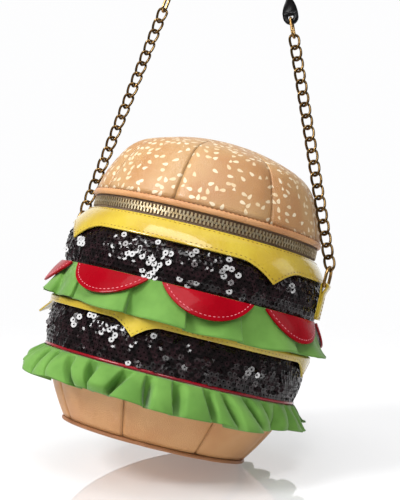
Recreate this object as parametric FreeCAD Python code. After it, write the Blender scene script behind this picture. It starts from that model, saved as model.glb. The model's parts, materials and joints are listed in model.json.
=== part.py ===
import FreeCAD, Part
import math
import os
from FreeCAD import Vector

# A round novelty handbag in the shape of a stacked hamburger, hung by a chain and leather strap.
# Millimetres and degrees. Heights are counted from the underside of the base while the pieces are
# made, and azimuths from the front (-Y) towards +X. Every piece is moved to the strap's top at the end.

# Fits and sewing
FIT = 0.3                       # gap between pieces that are sewn or seated against each other
SEAM_GAP = 0.45                 # open width of a seam between two bun panels
SEGMENTS = 8                    # panels of each bun, and tomato slices
FIRST_SEAM = 2.0                # azimuth of the first bun seam

# Base and bottom bun
BASE_RADIUS = 62.6              # outside of the bottom bun where it meets the base
BASE_THICK = 1.8
BASE_PIPING = 2.6               # cord diameter
BASE_PIPING_IN = 0.7            # how far the cord's middle sits in from the bun's foot
BUN_HEIGHT = 42.8
BUN_THICK = 1.8                 # leather over thin foam
BUN_SLOPE = 0.2                 # what the wall gains along the radius, on its slope
BUN_BULGE = 2.2                 # how far the bun's side swells past a straight cone

# Stack
WALL_RADIUS = 82.2              # outside of the board that stiffens the body
WALL_THICK = 2.0
LINING_THICK = 0.8
RED_PIPING = 2.0
RED_PIPING_OUT = 1.7            # from the patty's back out to the cord
LOWER_PATTY_HEIGHT = 30.8
LOWER_PATTY_EDGE = 3.3          # padding at the patty's edges
LOWER_PATTY_MID = 5.6           # padding at the patty's middle
UPPER_PATTY_HEIGHT = 24.4
UPPER_PATTY_EDGE = 3.7
UPPER_PATTY_MID = 6.5

# Cheese slices
CHEESE_THICK = 1.3
LOWER_CHEESE_SKIRT = 3.4        # depth of the slice's straight edge below its seam
LOWER_CHEESE_TIP = 15.5         # depth of its corners
LOWER_CHEESE_TIP_HALF = 17.0
LOWER_CHEESE_TIPS = (2.0, 92.0, 186.0, 275.0)
CORNER_HOLLOW = 0.38            # where along its half width a corner's side is hollowest
CORNER_SAG = 0.03               # how far the side sags in, of the corner's depth
CHEESE_RISE = 14.8              # from the upper patty up to the zip
UPPER_CHEESE_EDGE = 13.8        # depth of the straight edge below the zip
CHEESE_BEND_IN = 2.9            # the slice's bend over the patty: in from the patty's swell
CHEESE_BEND_UP = 0.9            # and above the slice's straight edge
UPPER_CHEESE_TIP = 24.3
UPPER_CHEESE_TIP_HALF = 25.0
UPPER_CHEESE_TIPS = (-43.0, 53.0, 147.0, 232.0)

# Lettuce ruffles
LETTUCE_THICK = 1.6             # measured along the radius
LETTUCE_GATHER = 0.5            # depth of the folds at the sewn edge
FOLD_MEAN = 0.8                 # gathered folds vary about this share of their full depth
FOLD_SPREAD = 0.2
FOLD_RHYTHM = 2.4               # radians from one fold to the next
LOWER_LETTUCE_DROP = 19.6
LOWER_LETTUCE_FLARE = 8.0       # how far the hem stands out past the sewn edge
LOWER_LETTUCE_FOLDS = 28
LOWER_LETTUCE_DEPTH = 3.4
UPPER_LETTUCE_HEIGHT = 21.6
UPPER_LETTUCE_OUT = 0.4         # sewn edge past the upper patty's edge
UPPER_LETTUCE_FLARE = 9.0
UPPER_LETTUCE_FOLDS = 20
UPPER_LETTUCE_DEPTH = 3.4

# Tomato slices
TOMATO_FIRST = 28.0             # azimuth of the first slice's middle
TOMATO_RADIUS = 34.0
TOMATO_DROP = 15.6
TOMATO_THICK = 1.4

# Zip
ZIP_WINDOW = 8.8                # open band between the cheese and the lid's rim
TAPE_THICK = 0.6
TAPE_FORWARD = 0.4              # tape face out past the inside of the bun panels
TAPE_TUCK = 4.0                 # tape hidden behind the cheese
TOOTH_PITCH = 2.5
TOOTH_ROOT = 1.24               # tooth width at the tape
TOOTH_NOSE = 0.7
TOOTH_LENGTH = 3.45
TOOTH_TAPER = 1.05
TOOTH_MESH = 1.2                # how far the two rows reach into each other
TOOTH_DEPTH = 2.6               # across the tape
LOWER_TEETH_END = 140.0         # azimuth of the last lower tooth, each way
UPPER_TEETH_END = 128.5
TAPE_END_ALLOWANCE = 2.5        # tape past the last tooth, in degrees
STOP_WIDTH = 1.5
STOP_SHIFT = 0.5                # degrees past the middle of the tape's end
GUSSET_GAP = 0.6                # degrees from the tape's end to the hinge gusset
SLIDER_PARK = 136.0             # azimuth of the slider at each end of its travel
SLIDER_LENGTH = 9.0
SLIDER_PLATE = 1.1
SLIDER_FLANGE = 0.8
SLIDER_CURVE = 0.2              # the teeth curve in behind a flat plate
WEDGE_LENGTH = 1.8
BRIDGE_LENGTH = 6.4
BRIDGE_WALL = 0.8
BRIDGE_WIDTH = 2.2
PULL_WIRE = 1.1
PULL_LENGTH = 17.0
PULL_WIDTH = 6.0
PULL_THICK = 1.0
PULL_ARM = 1.4
PULL_LEAN = 3.0                 # the pull lies in towards the zip

# Lid
RIM_BAND_HEIGHT = 4.0
RIM_BAND_THICK = 1.5            # at the band's edges
RIM_BAND_SWELL = 1.0            # how far the band's rolled face stands out in its middle
DOME_RADIUS = 77.8
DOME_HEIGHT = 51.1
SIDE_SWELL = 1.2                # how much larger the dome's side arc, centred on the axis, is than its foot
KNUCKLE_RADIUS = 28.0           # the tighter turn from the side to the crown
CROWN_RADIUS = 139.0
CROWN_HOLE = 0.6                # the panels' points stop this far from the axis
LID_BOARD = 1.8

# Side tabs and their rings
TAB_OUT = 1.9                   # from the cheese's inside, where it lies on the patty, to the tab's loop
TAB_WIDTH = 8.0
TAB_LAYER = 1.2
TAB_STAND_OFF = 0.1
TAB_LENGTH = 22.6               # from the ring's bar down to the tab's end
RING_WIRE = 2.2
RING_BAR_DROP = 19.6            # from the zip's middle down to the ring's bar
RING_HEIGHT = 13.0              # bar to bow, on the wire's middle line
RING_BOW = 6.0
RING_CORNER = 2.0

# Curb chains
LINK_WIRE = 1.8
LINK_LONG = 5.05                # half the length of a link's middle line
LINK_WIDE = 3.2
LINK_TWIST = 1.15
LINK_PLAY = 0.2                 # play between neighbouring links
LINK_STATIONS = 12
LINK_SIDES = 6
RIGHT_LINKS = 20
LEFT_LINKS = 19
RIGHT_LEAN = 23.0               # how far each chain leans in from upright
LEFT_LEAN = 8.0

# Shoulder strap and its rings
STRAP_RING_WIRE = 1.8
STRAP_RING_LENGTH = 14.0        # on the wire's middle line
STRAP_RING_BOW = 2.9
STRAP_WIDTH = 10.5
STRAP_THICK = 2.4
EYELET_RADIUS = 2.0
TONGUE_TIP = 5.2                # from the eyelet's middle to the rounded tip
TONGUE_RUN = 6.0                # from the eyelet to where the strap starts to turn
TWIST_RUN = 22.0                # along the strap, for its quarter twist
TWIST_STEPS = 6
HOOK_RADIUS = 20.0              # of what the strap hangs over

UP = Vector(0, 0, 1)
SIDEWAYS = Vector(0, 1, 0)
ORIGIN = Vector(0, 0, 0)
FAR = 200.0                     # larger than the bag, for cutting shapes

# Heights
base_piping_mid = BASE_PIPING / 2 + FIT / 2
bun_bottom = base_piping_mid + BASE_PIPING / 2 + FIT
bun_top = bun_bottom + BUN_HEIGHT
red_piping_mid = bun_top + FIT + RED_PIPING / 2
lower_patty_bottom = red_piping_mid + RED_PIPING / 2 + FIT
lower_patty_top = lower_patty_bottom + LOWER_PATTY_HEIGHT
lower_cheese_bottom = lower_patty_top + FIT
lower_cheese_top = lower_cheese_bottom + CHEESE_THICK
upper_lettuce_hem = lower_cheese_top + FIT
upper_lettuce_top = upper_lettuce_hem + UPPER_LETTUCE_HEIGHT
upper_patty_bottom = upper_lettuce_top + FIT
upper_patty_top = upper_patty_bottom + UPPER_PATTY_HEIGHT
cheese_top = upper_patty_top + CHEESE_RISE
zip_mid = cheese_top + ZIP_WINDOW / 2
rim_bottom = cheese_top + ZIP_WINDOW
rim_top = rim_bottom + RIM_BAND_HEIGHT
dome_bottom = rim_top + FIT
ring_bar = zip_mid - RING_BAR_DROP
ring_bow_mid = ring_bar + RING_HEIGHT - RING_BOW

# Radii
bun_shift = BUN_THICK + BUN_SLOPE
bun_top_radius = WALL_RADIUS + bun_shift
patty_inner = WALL_RADIUS + FIT
tape_outer = DOME_RADIUS - BUN_THICK + TAPE_FORWARD
tape_inner = tape_outer - TAPE_THICK
neck_radius = tape_inner - FIT
mouth_cheese = tape_outer + FIT
teeth_mid = (tape_inner + tape_outer) / 2
teeth_outer = teeth_mid + TOOTH_DEPTH / 2
teeth_inner = teeth_mid - TOOTH_DEPTH / 2
lower_teeth_bottom = zip_mid + TOOTH_MESH / 2 - TOOTH_LENGTH
upper_teeth_top = zip_mid - TOOTH_MESH / 2 + TOOTH_LENGTH
lower_tape_end = LOWER_TEETH_END + TAPE_END_ALLOWANCE
upper_tape_end = UPPER_TEETH_END + TAPE_END_ALLOWANCE
rim_inner = tape_outer + FIT
rim_outer = rim_inner + RIM_BAND_THICK
lower_skirt_inner = patty_inner + LOWER_PATTY_MID + FIT
upper_skirt_inner = patty_inner + UPPER_PATTY_MID + FIT
tab_reach = upper_skirt_inner + TAB_OUT
link_pitch = 2 * LINK_LONG - LINK_WIRE - LINK_PLAY


def polar(radius, azimuth, height):
    """A point at an azimuth counted from the front towards +X."""
    turn = math.radians(azimuth)
    return Vector(radius * math.sin(turn), -radius * math.cos(turn), height)


def line(start, end):
    return Part.LineSegment(start, end).toShape()


def arc(start, middle, end):
    return Part.Arc(start, middle, end).toShape()


def polygon_face(points):
    return Part.Face(Part.makePolygon(points + points[:1]))


def edge_face(edges):
    return Part.Face(Part.Wire(edges))


def profile(points):
    """A face in the XZ half-plane from pairs of radius and height."""
    return polygon_face([Vector(radius, 0, height) for radius, height in points])


def spun(face, start=0.0, sweep=360.0):
    """A profile face turned about the bag's axis from one azimuth through a sweep."""
    solid = face.revolve(ORIGIN, UP, sweep)
    solid.rotate(ORIGIN, UP, start - 90.0)
    return solid


def turned(shape, azimuth):
    """A copy of a piece that was made on the +X side, turned to another azimuth."""
    copy = shape.copy()
    copy.rotate(ORIGIN, UP, azimuth - 90.0)
    return copy


def tube(path, wire):
    """A round wire swept along a closed run of tangent lines and arcs."""
    start = path[0].valueAt(path[0].FirstParameter)
    heading = path[0].tangentAt(path[0].FirstParameter)
    section = Part.Wire(Part.makeCircle(wire / 2, start, heading))
    return Part.Wire(path).makePipeShell([section], True, False)


def piping(radius, height, cord):
    return Part.makeTorus(radius, cord / 2, Vector(0, 0, height))


def base_panel():
    radius = BASE_RADIUS - BASE_PIPING_IN - BASE_PIPING / 2 - FIT
    return Part.makeCylinder(radius, BASE_THICK)


def bun_side(inset):
    """The bottom bun's slightly swollen side line, moved in along the radius."""
    low = Vector(BASE_RADIUS - inset, 0, bun_bottom)
    high = Vector(bun_top_radius - inset, 0, bun_top)
    middle = (low + high) / 2 + Vector(BUN_BULGE, 0, 0)
    return low, middle, high


def panel_sweep(radius):
    """Azimuth taken by one panel, less the seam's open width at a radius."""
    return 360.0 / SEGMENTS - math.degrees(SEAM_GAP / radius)


def bottom_bun_panels():
    low, middle, high = bun_side(0.0)
    low_in, middle_in, high_in = bun_side(bun_shift - FIT)
    face = edge_face([
        arc(low, middle, high),
        line(high, high_in),
        arc(high_in, middle_in, low_in),
        line(low_in, low),
    ])
    sweep = panel_sweep(middle.x)
    step = 360.0 / SEGMENTS
    start = FIRST_SEAM + (step - sweep) / 2
    return [spun(face, start + step * index, sweep) for index in range(SEGMENTS)]


def body_board():
    """The board wall that carries the sewn layers, drawn in to a neck under the zip."""
    low, middle, high = bun_side(bun_shift)
    foot = Vector(low.x, 0, BASE_THICK + FIT)
    neck_low = upper_patty_top + (WALL_RADIUS - neck_radius)
    outer = [
        line(foot, low),
        arc(low, middle, high),
    ]
    run = [high]
    for radius, height in (
        (WALL_RADIUS, lower_patty_bottom),
        (WALL_RADIUS, upper_patty_top),
        (neck_radius, neck_low),
        (neck_radius, cheese_top - FIT),
    ):
        run.append(Vector(radius, 0, height))
    outer += [line(start, end) for start, end in zip(run, run[1:])]
    inwards = Vector(-WALL_THICK, 0, 0)
    inner = [edge.translated(inwards) for edge in outer]
    top = line(run[-1], run[-1] + inwards)
    bottom = line(foot + inwards, foot)
    return spun(edge_face(outer + [top] + inner[::-1] + [bottom]))


def body_lining():
    """A fabric bag inside the board, with a floor."""
    low, middle, high = bun_side(bun_shift + WALL_THICK + FIT)
    wall = WALL_RADIUS - WALL_THICK - FIT
    neck = neck_radius - WALL_THICK - FIT
    neck_low = upper_patty_top + (WALL_RADIUS - neck_radius)
    floor = BASE_THICK + FIT
    outer = [
        (0, floor),
        (low.x, floor),
        (low.x, bun_bottom),
        (high.x, bun_top),
        (wall, lower_patty_bottom),
        (wall, upper_patty_top),
        (neck, neck_low),
        (neck, cheese_top - FIT),
    ]
    inner = [(max(radius - LINING_THICK, 0), max(height, floor + LINING_THICK)) for radius, height in outer]
    return spun(profile(outer + inner[:0:-1] + [(0, floor + LINING_THICK)]))


def patty(bottom, height, edge, mid):
    """A padded band with a swollen outer side."""
    low = Vector(patty_inner + edge, 0, bottom)
    high = Vector(patty_inner + edge, 0, bottom + height)
    swell = Vector(patty_inner + mid, 0, bottom + height / 2)
    inner_low = Vector(patty_inner, 0, bottom)
    inner_high = Vector(patty_inner, 0, bottom + height)
    return spun(edge_face([
        arc(low, swell, high),
        line(high, inner_high),
        line(inner_high, inner_low),
        line(inner_low, low),
    ]))


def slice_corner(azimuth, edge, tip, half):
    """A cutting block with the outline of one hanging cheese corner."""
    def at(across, height):
        return Vector(0, across, height)

    depth = edge - tip
    hollow = edge - depth * (CORNER_HOLLOW + CORNER_SAG)
    side = at(half * CORNER_HOLLOW, hollow)
    other = at(-half * CORNER_HOLLOW, hollow)
    face = edge_face([
        line(at(half, edge + depth), at(half, edge)),
        arc(at(half, edge), side, at(0, tip)),
        arc(at(0, tip), other, at(-half, edge)),
        line(at(-half, edge), at(-half, edge + depth)),
        line(at(-half, edge + depth), at(half, edge + depth)),
    ])
    return turned(face.extrude(Vector(FAR, 0, 0)), azimuth)


def cheese_slice(full, edge, tip, half, azimuths):
    """A full skirt trimmed to a straight edge with hanging corners."""
    keep = Part.makeCylinder(FAR, FAR, Vector(0, 0, edge))
    corners = [slice_corner(azimuth, edge, tip, half) for azimuth in azimuths]
    return full.common(keep.multiFuse(corners).removeSplitter())


def lower_cheese():
    tip = lower_cheese_top - LOWER_CHEESE_TIP
    outer = lower_skirt_inner + CHEESE_THICK
    skirt = spun(profile([
        (patty_inner, lower_cheese_bottom),
        (lower_skirt_inner, lower_cheese_bottom),
        (lower_skirt_inner, tip),
        (outer, tip),
        (outer, lower_cheese_top),
        (patty_inner, lower_cheese_top),
    ]))
    edge = lower_cheese_top - LOWER_CHEESE_SKIRT
    return cheese_slice(skirt, edge, tip, LOWER_CHEESE_TIP_HALF, LOWER_CHEESE_TIPS)


def upper_cheese():
    tip = cheese_top - UPPER_CHEESE_TIP
    edge = cheese_top - UPPER_CHEESE_EDGE
    bend = Vector(upper_skirt_inner - CHEESE_BEND_IN, 0, edge + CHEESE_BEND_UP)
    inner = [
        Vector(mouth_cheese, 0, cheese_top),
        bend,
        Vector(upper_skirt_inner + FIT, 0, tip),
    ]
    outwards = Vector(CHEESE_THICK, 0, 0)
    outer = [point + outwards for point in inner]
    skirt = spun(edge_face([
        arc(*inner),
        line(inner[2], outer[2]),
        arc(*outer[::-1]),
        line(outer[0], inner[0]),
    ]))
    return cheese_slice(skirt, edge, tip, UPPER_CHEESE_TIP_HALF, UPPER_CHEESE_TIPS)


def wave(folds, radius, depth, height):
    """A closed wire of arcs that folds in and out about a circle, unevenly as gathered cloth does."""
    step = 180.0 / folds
    edges = []
    for half in range(2 * folds):
        start = step * half
        share = FOLD_MEAN + FOLD_SPREAD * math.sin(FOLD_RHYTHM * half)
        swell = depth * share * (1 if half % 2 else -1)
        edges.append(arc(
            polar(radius, start, height),
            polar(radius + swell, start + step / 2, height),
            polar(radius, start + step, height),
        ))
    return Part.Wire(edges)


def ruffle(folds, top_radius, top, hem_radius, hem, depth):
    """A gathered strip of cloth that hangs from its sewn edge and flares to its hem."""
    def skin(inset):
        return Part.makeLoft([
            wave(folds, top_radius - inset, LETTUCE_GATHER, top),
            wave(folds, hem_radius - inset, depth, hem),
        ], True, True)

    return skin(0.0).cut(skin(LETTUCE_THICK))


def lower_lettuce():
    sewn = bun_top_radius + FIT + LETTUCE_GATHER + LETTUCE_THICK
    return ruffle(LOWER_LETTUCE_FOLDS, sewn, bun_top, sewn + LOWER_LETTUCE_FLARE,
                  bun_top - LOWER_LETTUCE_DROP, LOWER_LETTUCE_DEPTH)


upper_sewn = patty_inner + UPPER_PATTY_EDGE + UPPER_LETTUCE_OUT
upper_flared = upper_sewn + UPPER_LETTUCE_FLARE


def upper_lettuce():
    return ruffle(UPPER_LETTUCE_FOLDS, upper_sewn, upper_lettuce_top, upper_flared,
                  upper_lettuce_hem, UPPER_LETTUCE_DEPTH)


def tomato_slices():
    """Round slices of patent leather that lie on the ruffle, cut off by the patty's seam."""
    top = Vector(upper_sewn + LETTUCE_GATHER + FIT, 0, upper_lettuce_top)
    hem_reach = upper_flared + UPPER_LETTUCE_DEPTH + FIT
    slope = Vector(hem_reach, 0, upper_lettuce_hem) - top
    low = top + slope * (TOMATO_DROP / UPPER_LETTUCE_HEIGHT)
    outwards = Vector(TOMATO_THICK, 0, 0)
    band = spun(polygon_face([top, low, low + outwards, top + outwards]))
    down = slope.normalize()
    middle = low - down * TOMATO_RADIUS
    facing = Vector(-down.z, 0, down.x)
    disc = Part.makeCylinder(TOMATO_RADIUS, FAR / 2, middle - facing * FAR / 5, facing)
    piece = band.common(disc)
    step = 360.0 / SEGMENTS
    return [turned(piece, TOMATO_FIRST + step * index) for index in range(SEGMENTS)]


def tape(bottom, top, half_span):
    face = profile([(tape_inner, bottom), (tape_outer, bottom), (tape_outer, top), (tape_inner, top)])
    return spun(face, -half_span, 2 * half_span)


def tooth(root, direction):
    """One zip tooth on the +X side, with a tapered nose that points up or down."""
    points = []
    for across, reach in (
        (-TOOTH_ROOT / 2, 0),
        (TOOTH_ROOT / 2, 0),
        (TOOTH_ROOT / 2, TOOTH_LENGTH - TOOTH_TAPER),
        (TOOTH_NOSE / 2, TOOTH_LENGTH),
        (-TOOTH_NOSE / 2, TOOTH_LENGTH),
        (-TOOTH_ROOT / 2, TOOTH_LENGTH - TOOTH_TAPER),
    ):
        points.append(Vector(teeth_inner, across, root + direction * reach))
    return polygon_face(points).extrude(Vector(TOOTH_DEPTH, 0, 0))


def teeth(root, direction, end, offset):
    """A row of teeth from one end of the zip to the other."""
    step = math.degrees(TOOTH_PITCH / teeth_mid)
    count = int((end - abs(offset) * step) / step)
    piece = tooth(root, direction)
    azimuths = [(index + offset) * step for index in range(-count, count + 1)]
    return Part.Compound([turned(piece, azimuth) for azimuth in azimuths])


def zip_stops():
    """A pressed metal block at each end of the lower row of teeth."""
    block = Part.makeBox(TOOTH_DEPTH, STOP_WIDTH, TOOTH_LENGTH,
                         Vector(teeth_inner, -STOP_WIDTH / 2, lower_teeth_bottom))
    stop_at = LOWER_TEETH_END + TAPE_END_ALLOWANCE / 2 + STOP_SHIFT
    return Part.Compound([turned(block, side * stop_at) for side in (-1, 1)])


def hinge_gusset():
    """The strip of leather behind, which joins the lid to the body and bends."""
    start = lower_tape_end + GUSSET_GAP
    face = profile([
        (tape_inner, cheese_top - TAPE_TUCK),
        (tape_outer, cheese_top - TAPE_TUCK),
        (tape_outer, rim_top),
        (tape_inner, rim_top),
    ])
    return spun(face, start, 360.0 - 2 * start)


def box_between(low, high):
    size = high - low
    return Part.makeBox(size.x, size.y, size.z, low)


slider_low = cheese_top + FIT
slider_high = rim_bottom - FIT
plate_front = teeth_outer + FIT
plate_back = teeth_inner - FIT - SLIDER_CURVE
bridge_floor = plate_front + SLIDER_PLATE
pull_pivot = bridge_floor + FIT + PULL_WIRE / 2
bridge_top = pull_pivot + PULL_WIRE / 2 + FIT


def zip_slider():
    """Two plates with turned-in flanges, joined by a wedge, and a bridge for the pull."""
    half = SLIDER_LENGTH / 2
    pieces = [
        box_between(Vector(plate_front, -half, slider_low),
                    Vector(bridge_floor, half, slider_high)),
        box_between(Vector(plate_back - SLIDER_PLATE, -half, slider_low),
                    Vector(plate_back, half, slider_high)),
        box_between(Vector(plate_back, -half, zip_mid + TOOTH_MESH / 2 + FIT),
                    Vector(plate_front, WEDGE_LENGTH - half, upper_teeth_top)),
    ]
    front_reach = tape_outer + FIT
    back_reach = tape_inner - FIT - SLIDER_CURVE
    for low, high in ((slider_low, slider_low + SLIDER_FLANGE), (slider_high - SLIDER_FLANGE, slider_high)):
        pieces.append(box_between(Vector(front_reach, -half, low), Vector(plate_front, half, high)))
        pieces.append(box_between(Vector(plate_back, -half, low), Vector(back_reach, half, high)))
    span = BRIDGE_LENGTH / 2
    arch = box_between(Vector(bridge_floor, -span, zip_mid - BRIDGE_WIDTH / 2),
                       Vector(bridge_top + BRIDGE_WALL, span, zip_mid + BRIDGE_WIDTH / 2))
    window = box_between(Vector(bridge_floor, BRIDGE_WALL - span, zip_mid - BRIDGE_WIDTH),
                         Vector(bridge_top, span - BRIDGE_WALL, zip_mid + BRIDGE_WIDTH))
    pieces.append(arch.cut(window))
    body = pieces[0].multiFuse(pieces[1:]).removeSplitter()
    return turned(body, -SLIDER_PARK)


def zip_pull():
    """A flat tab with a slotted end, whose cross wire sits under the slider's bridge."""
    half = PULL_WIDTH / 2
    slot_end = BRIDGE_LENGTH / 2 + 4 * FIT
    bar = Part.makeCylinder(PULL_WIRE / 2, PULL_WIDTH, Vector(pull_pivot, 0, zip_mid - half))
    back = pull_pivot - PULL_THICK / 2
    front = pull_pivot + PULL_THICK / 2
    tip = PULL_LENGTH - half
    blade = box_between(Vector(back, slot_end, zip_mid - half), Vector(front, tip, zip_mid + half))
    nose = Part.makeCylinder(half, PULL_THICK, Vector(back, tip, zip_mid), Vector(1, 0, 0))
    hole = Part.makeCylinder(half / 2, PULL_THICK, Vector(back, tip, zip_mid), Vector(1, 0, 0))
    arms = []
    for low in (zip_mid - half, zip_mid + half - PULL_ARM):
        arms.append(box_between(Vector(back, 0, low), Vector(front, slot_end, low + PULL_ARM)))
    body = bar.multiFuse([blade, nose] + arms).cut(hole).removeSplitter()
    body.rotate(Vector(pull_pivot, 0, 0), UP, PULL_LEAN)
    return turned(body, -SLIDER_PARK)


def rim_band():
    """The rolled leather band round the lid's edge."""
    low = Vector(rim_outer, 0, rim_bottom)
    high = Vector(rim_outer, 0, rim_top)
    middle = (low + high) / 2 + Vector(RIM_BAND_SWELL, 0, 0)
    inner_low = Vector(rim_inner, 0, rim_bottom)
    inner_high = Vector(rim_inner, 0, rim_top)
    return spun(edge_face([
        arc(low, middle, high),
        line(high, inner_high),
        line(inner_high, inner_low),
        line(inner_low, low),
    ]))


side_radius = DOME_RADIUS + SIDE_SWELL
side_mid = dome_bottom - math.sqrt(side_radius ** 2 - DOME_RADIUS ** 2)
crown_mid = dome_bottom + DOME_HEIGHT - CROWN_RADIUS
mids_apart = side_mid - crown_mid


def knuckle_middle():
    """Centre of the arc that is tangent inside both the side arc and the crown arc."""
    to_side = side_radius - KNUCKLE_RADIUS
    to_crown = CROWN_RADIUS - KNUCKLE_RADIUS
    rise = (to_crown ** 2 - to_side ** 2 - mids_apart ** 2) / (2 * mids_apart)
    return Vector(math.sqrt(to_side ** 2 - rise ** 2), 0, side_mid + rise)


def arc_between(middle, radius, start, end):
    """The short arc about a centre from one unit direction to another."""
    half_way = (start + end).normalize()
    return arc(middle + start * radius, middle + half_way * radius, middle + end * radius)


def dome_line(inset, bottom):
    """The dome's side line, moved in: an upright foot, then side, knuckle and crown arcs."""
    side = Vector(0, 0, side_mid)
    crown = Vector(0, 0, crown_mid)
    knuckle = knuckle_middle()
    large = CROWN_RADIUS - inset
    rise = dome_bottom - side_mid
    rim = Vector(math.sqrt((side_radius - inset) ** 2 - rise ** 2), 0, rise).normalize()
    low_turn = (knuckle - side).normalize()
    high_turn = (knuckle - crown).normalize()
    tip = Vector(CROWN_HOLE, 0, math.sqrt(large ** 2 - CROWN_HOLE ** 2)).normalize()
    edges = [
        arc_between(side, side_radius - inset, rim, low_turn),
        arc_between(knuckle, KNUCKLE_RADIUS - inset, low_turn, high_turn),
        arc_between(crown, large, high_turn, tip),
    ]
    foot = side + rim * (side_radius - inset)
    start = Vector(foot.x, 0, bottom)
    if foot.z - bottom > FIT / 2:
        edges.insert(0, line(start, foot))
    return edges, start, crown + tip * large


def dome_face(outer_inset, inner_inset, bottom):
    outer, outer_start, outer_top = dome_line(outer_inset, bottom)
    inner, inner_start, inner_top = dome_line(inner_inset, bottom)
    return edge_face(outer + [line(outer_top, inner_top)] + inner[::-1] + [line(inner_start, outer_start)])


def top_bun_panels():
    face = dome_face(0.0, BUN_THICK, dome_bottom)
    sweep = panel_sweep(DOME_RADIUS)
    step = 360.0 / SEGMENTS
    start = FIRST_SEAM + (step - sweep) / 2
    return [spun(face, start + step * index, sweep) for index in range(SEGMENTS)]


lid_board_inset = DOME_RADIUS - neck_radius
lid_lining_inset = lid_board_inset + LID_BOARD + FIT


def side_tab(side):
    """A strip of patent leather folded round the ring's bar and sewn down on the patty."""
    loop_inner = RING_WIRE / 2 + FIT
    loop_outer = loop_inner + TAB_LAYER
    back = upper_skirt_inner + TAB_STAND_OFF
    along = Vector(0, TAB_WIDTH, 0)
    start = Vector(tab_reach, -TAB_WIDTH / 2, ring_bar)
    tail = box_between(Vector(back, -TAB_WIDTH / 2, ring_bar - TAB_LENGTH),
                       Vector(back + 2 * TAB_LAYER, TAB_WIDTH / 2, ring_bar - loop_inner))
    roll = Part.makeCylinder(loop_outer, TAB_WIDTH, start, along)
    bore = Part.makeCylinder(loop_inner, TAB_WIDTH, start, along)
    return turned(tail.fuse(roll).cut(bore).removeSplitter(), side * 90.0)


def side_ring(side):
    """A D-shaped ring that stands in the tab's loop, with its bow upwards."""
    def at(across, height):
        return Vector(tab_reach, across, ring_bar + height)

    bow_mid = RING_HEIGHT - RING_BOW
    bend = RING_CORNER * (1 - math.sqrt(0.5))
    straight = RING_BOW - RING_CORNER
    path = [
        line(at(-straight, 0), at(straight, 0)),
        arc(at(straight, 0), at(RING_BOW - bend, bend), at(RING_BOW, RING_CORNER)),
        line(at(RING_BOW, RING_CORNER), at(RING_BOW, bow_mid)),
        arc(at(RING_BOW, bow_mid), at(0, RING_HEIGHT), at(-RING_BOW, bow_mid)),
        line(at(-RING_BOW, bow_mid), at(-RING_BOW, RING_CORNER)),
        arc(at(-RING_BOW, RING_CORNER), at(bend - RING_BOW, bend), at(-straight, 0)),
    ]
    return turned(tube(path, RING_WIRE), side * 90.0)


def chain_heading(side):
    """Unit vector up one chain: side is 1 on the right and -1 on the left."""
    lean = math.radians(RIGHT_LEAN if side > 0 else LEFT_LEAN)
    return Vector(-side * math.sin(lean), 0, math.cos(lean))


def chain_start(side):
    return Vector(side * tab_reach, 0, ring_bar + RING_HEIGHT)


def link_count(side):
    return RIGHT_LINKS if side > 0 else LEFT_LINKS


hook_side = (RING_WIRE + LINK_WIRE) / 2 + LINK_PLAY
hook_strap = (STRAP_RING_WIRE + LINK_WIRE) / 2 + LINK_PLAY


def strap_ring_low(side):
    """Middle of the strap ring's wire where the last link hooks over it."""
    reach = 2 * LINK_LONG + (link_count(side) - 1) * link_pitch - hook_side - hook_strap
    return chain_start(side) + chain_heading(side) * reach


def link_section(turn):
    """A many-sided section of the twisted link's wire at one turn of its loop."""
    middle = Vector(LINK_LONG * math.cos(turn), LINK_WIDE * math.sin(turn), LINK_TWIST * math.sin(2 * turn))
    heading = Vector(-LINK_LONG * math.sin(turn), LINK_WIDE * math.cos(turn),
                     2 * LINK_TWIST * math.cos(2 * turn)).normalize()
    first = (UP - heading * UP.dot(heading)).normalize()
    second = heading.cross(first)
    points = []
    for corner in range(LINK_SIDES + 1):
        angle = 2 * math.pi * (corner % LINK_SIDES) / LINK_SIDES
        points.append(middle + (first * math.cos(angle) + second * math.sin(angle)) * (LINK_WIRE / 2))
    return Part.makePolygon(points)


def curb_link():
    """A twisted link, long along X: two like halves, one turned half round about Z."""
    steps = LINK_STATIONS // 2
    half = Part.makeLoft([link_section(math.pi * step / steps) for step in range(steps + 1)], True, True)
    other = half.copy()
    other.rotate(ORIGIN, UP, 180.0)
    return half.fuse(other)


def chain(side):
    """A row of links from the side ring to the strap's ring, flat to the front."""
    heading = chain_heading(side)
    turn = FreeCAD.Rotation(heading, SIDEWAYS.cross(heading), SIDEWAYS, "XYZ")
    pattern = curb_link()
    links = []
    for index in range(link_count(side)):
        reach = LINK_LONG - hook_side + index * link_pitch
        link = pattern.copy()
        link.Placement = FreeCAD.Placement(chain_start(side) + heading * reach, turn)
        links.append(link)
    return Part.Compound(links)


def strap_ring(side):
    """A long ring whose plane holds the chain's line and the front-to-back line."""
    low = strap_ring_low(side)
    heading = chain_heading(side)
    straight = STRAP_RING_LENGTH - 2 * STRAP_RING_BOW

    def at(across, up):
        return low + SIDEWAYS * across + heading * (STRAP_RING_BOW + up)

    bow = STRAP_RING_BOW
    path = [
        arc(at(-bow, 0), at(0, -bow), at(bow, 0)),
        line(at(bow, 0), at(bow, straight)),
        arc(at(bow, straight), at(0, straight + bow), at(-bow, straight)),
        line(at(-bow, straight), at(-bow, 0)),
    ]
    return tube(path, STRAP_RING_WIRE)


def eyelet(side):
    """Middle of the strap's eyelet, whose lower edge hangs on the ring."""
    bow_drop = STRAP_RING_BOW - math.sqrt(STRAP_RING_BOW ** 2 - STRAP_THICK ** 2 / 4)
    play = EYELET_RADIUS - STRAP_RING_WIRE / 2 - bow_drop - LINK_PLAY
    return strap_ring_low(side) + chain_heading(side) * (STRAP_RING_LENGTH + play)


def inward(side):
    """Unit vector square to a chain, from its line towards the strap's middle."""
    heading = chain_heading(side)
    return Vector(-side * heading.z, 0, side * heading.x)


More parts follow.
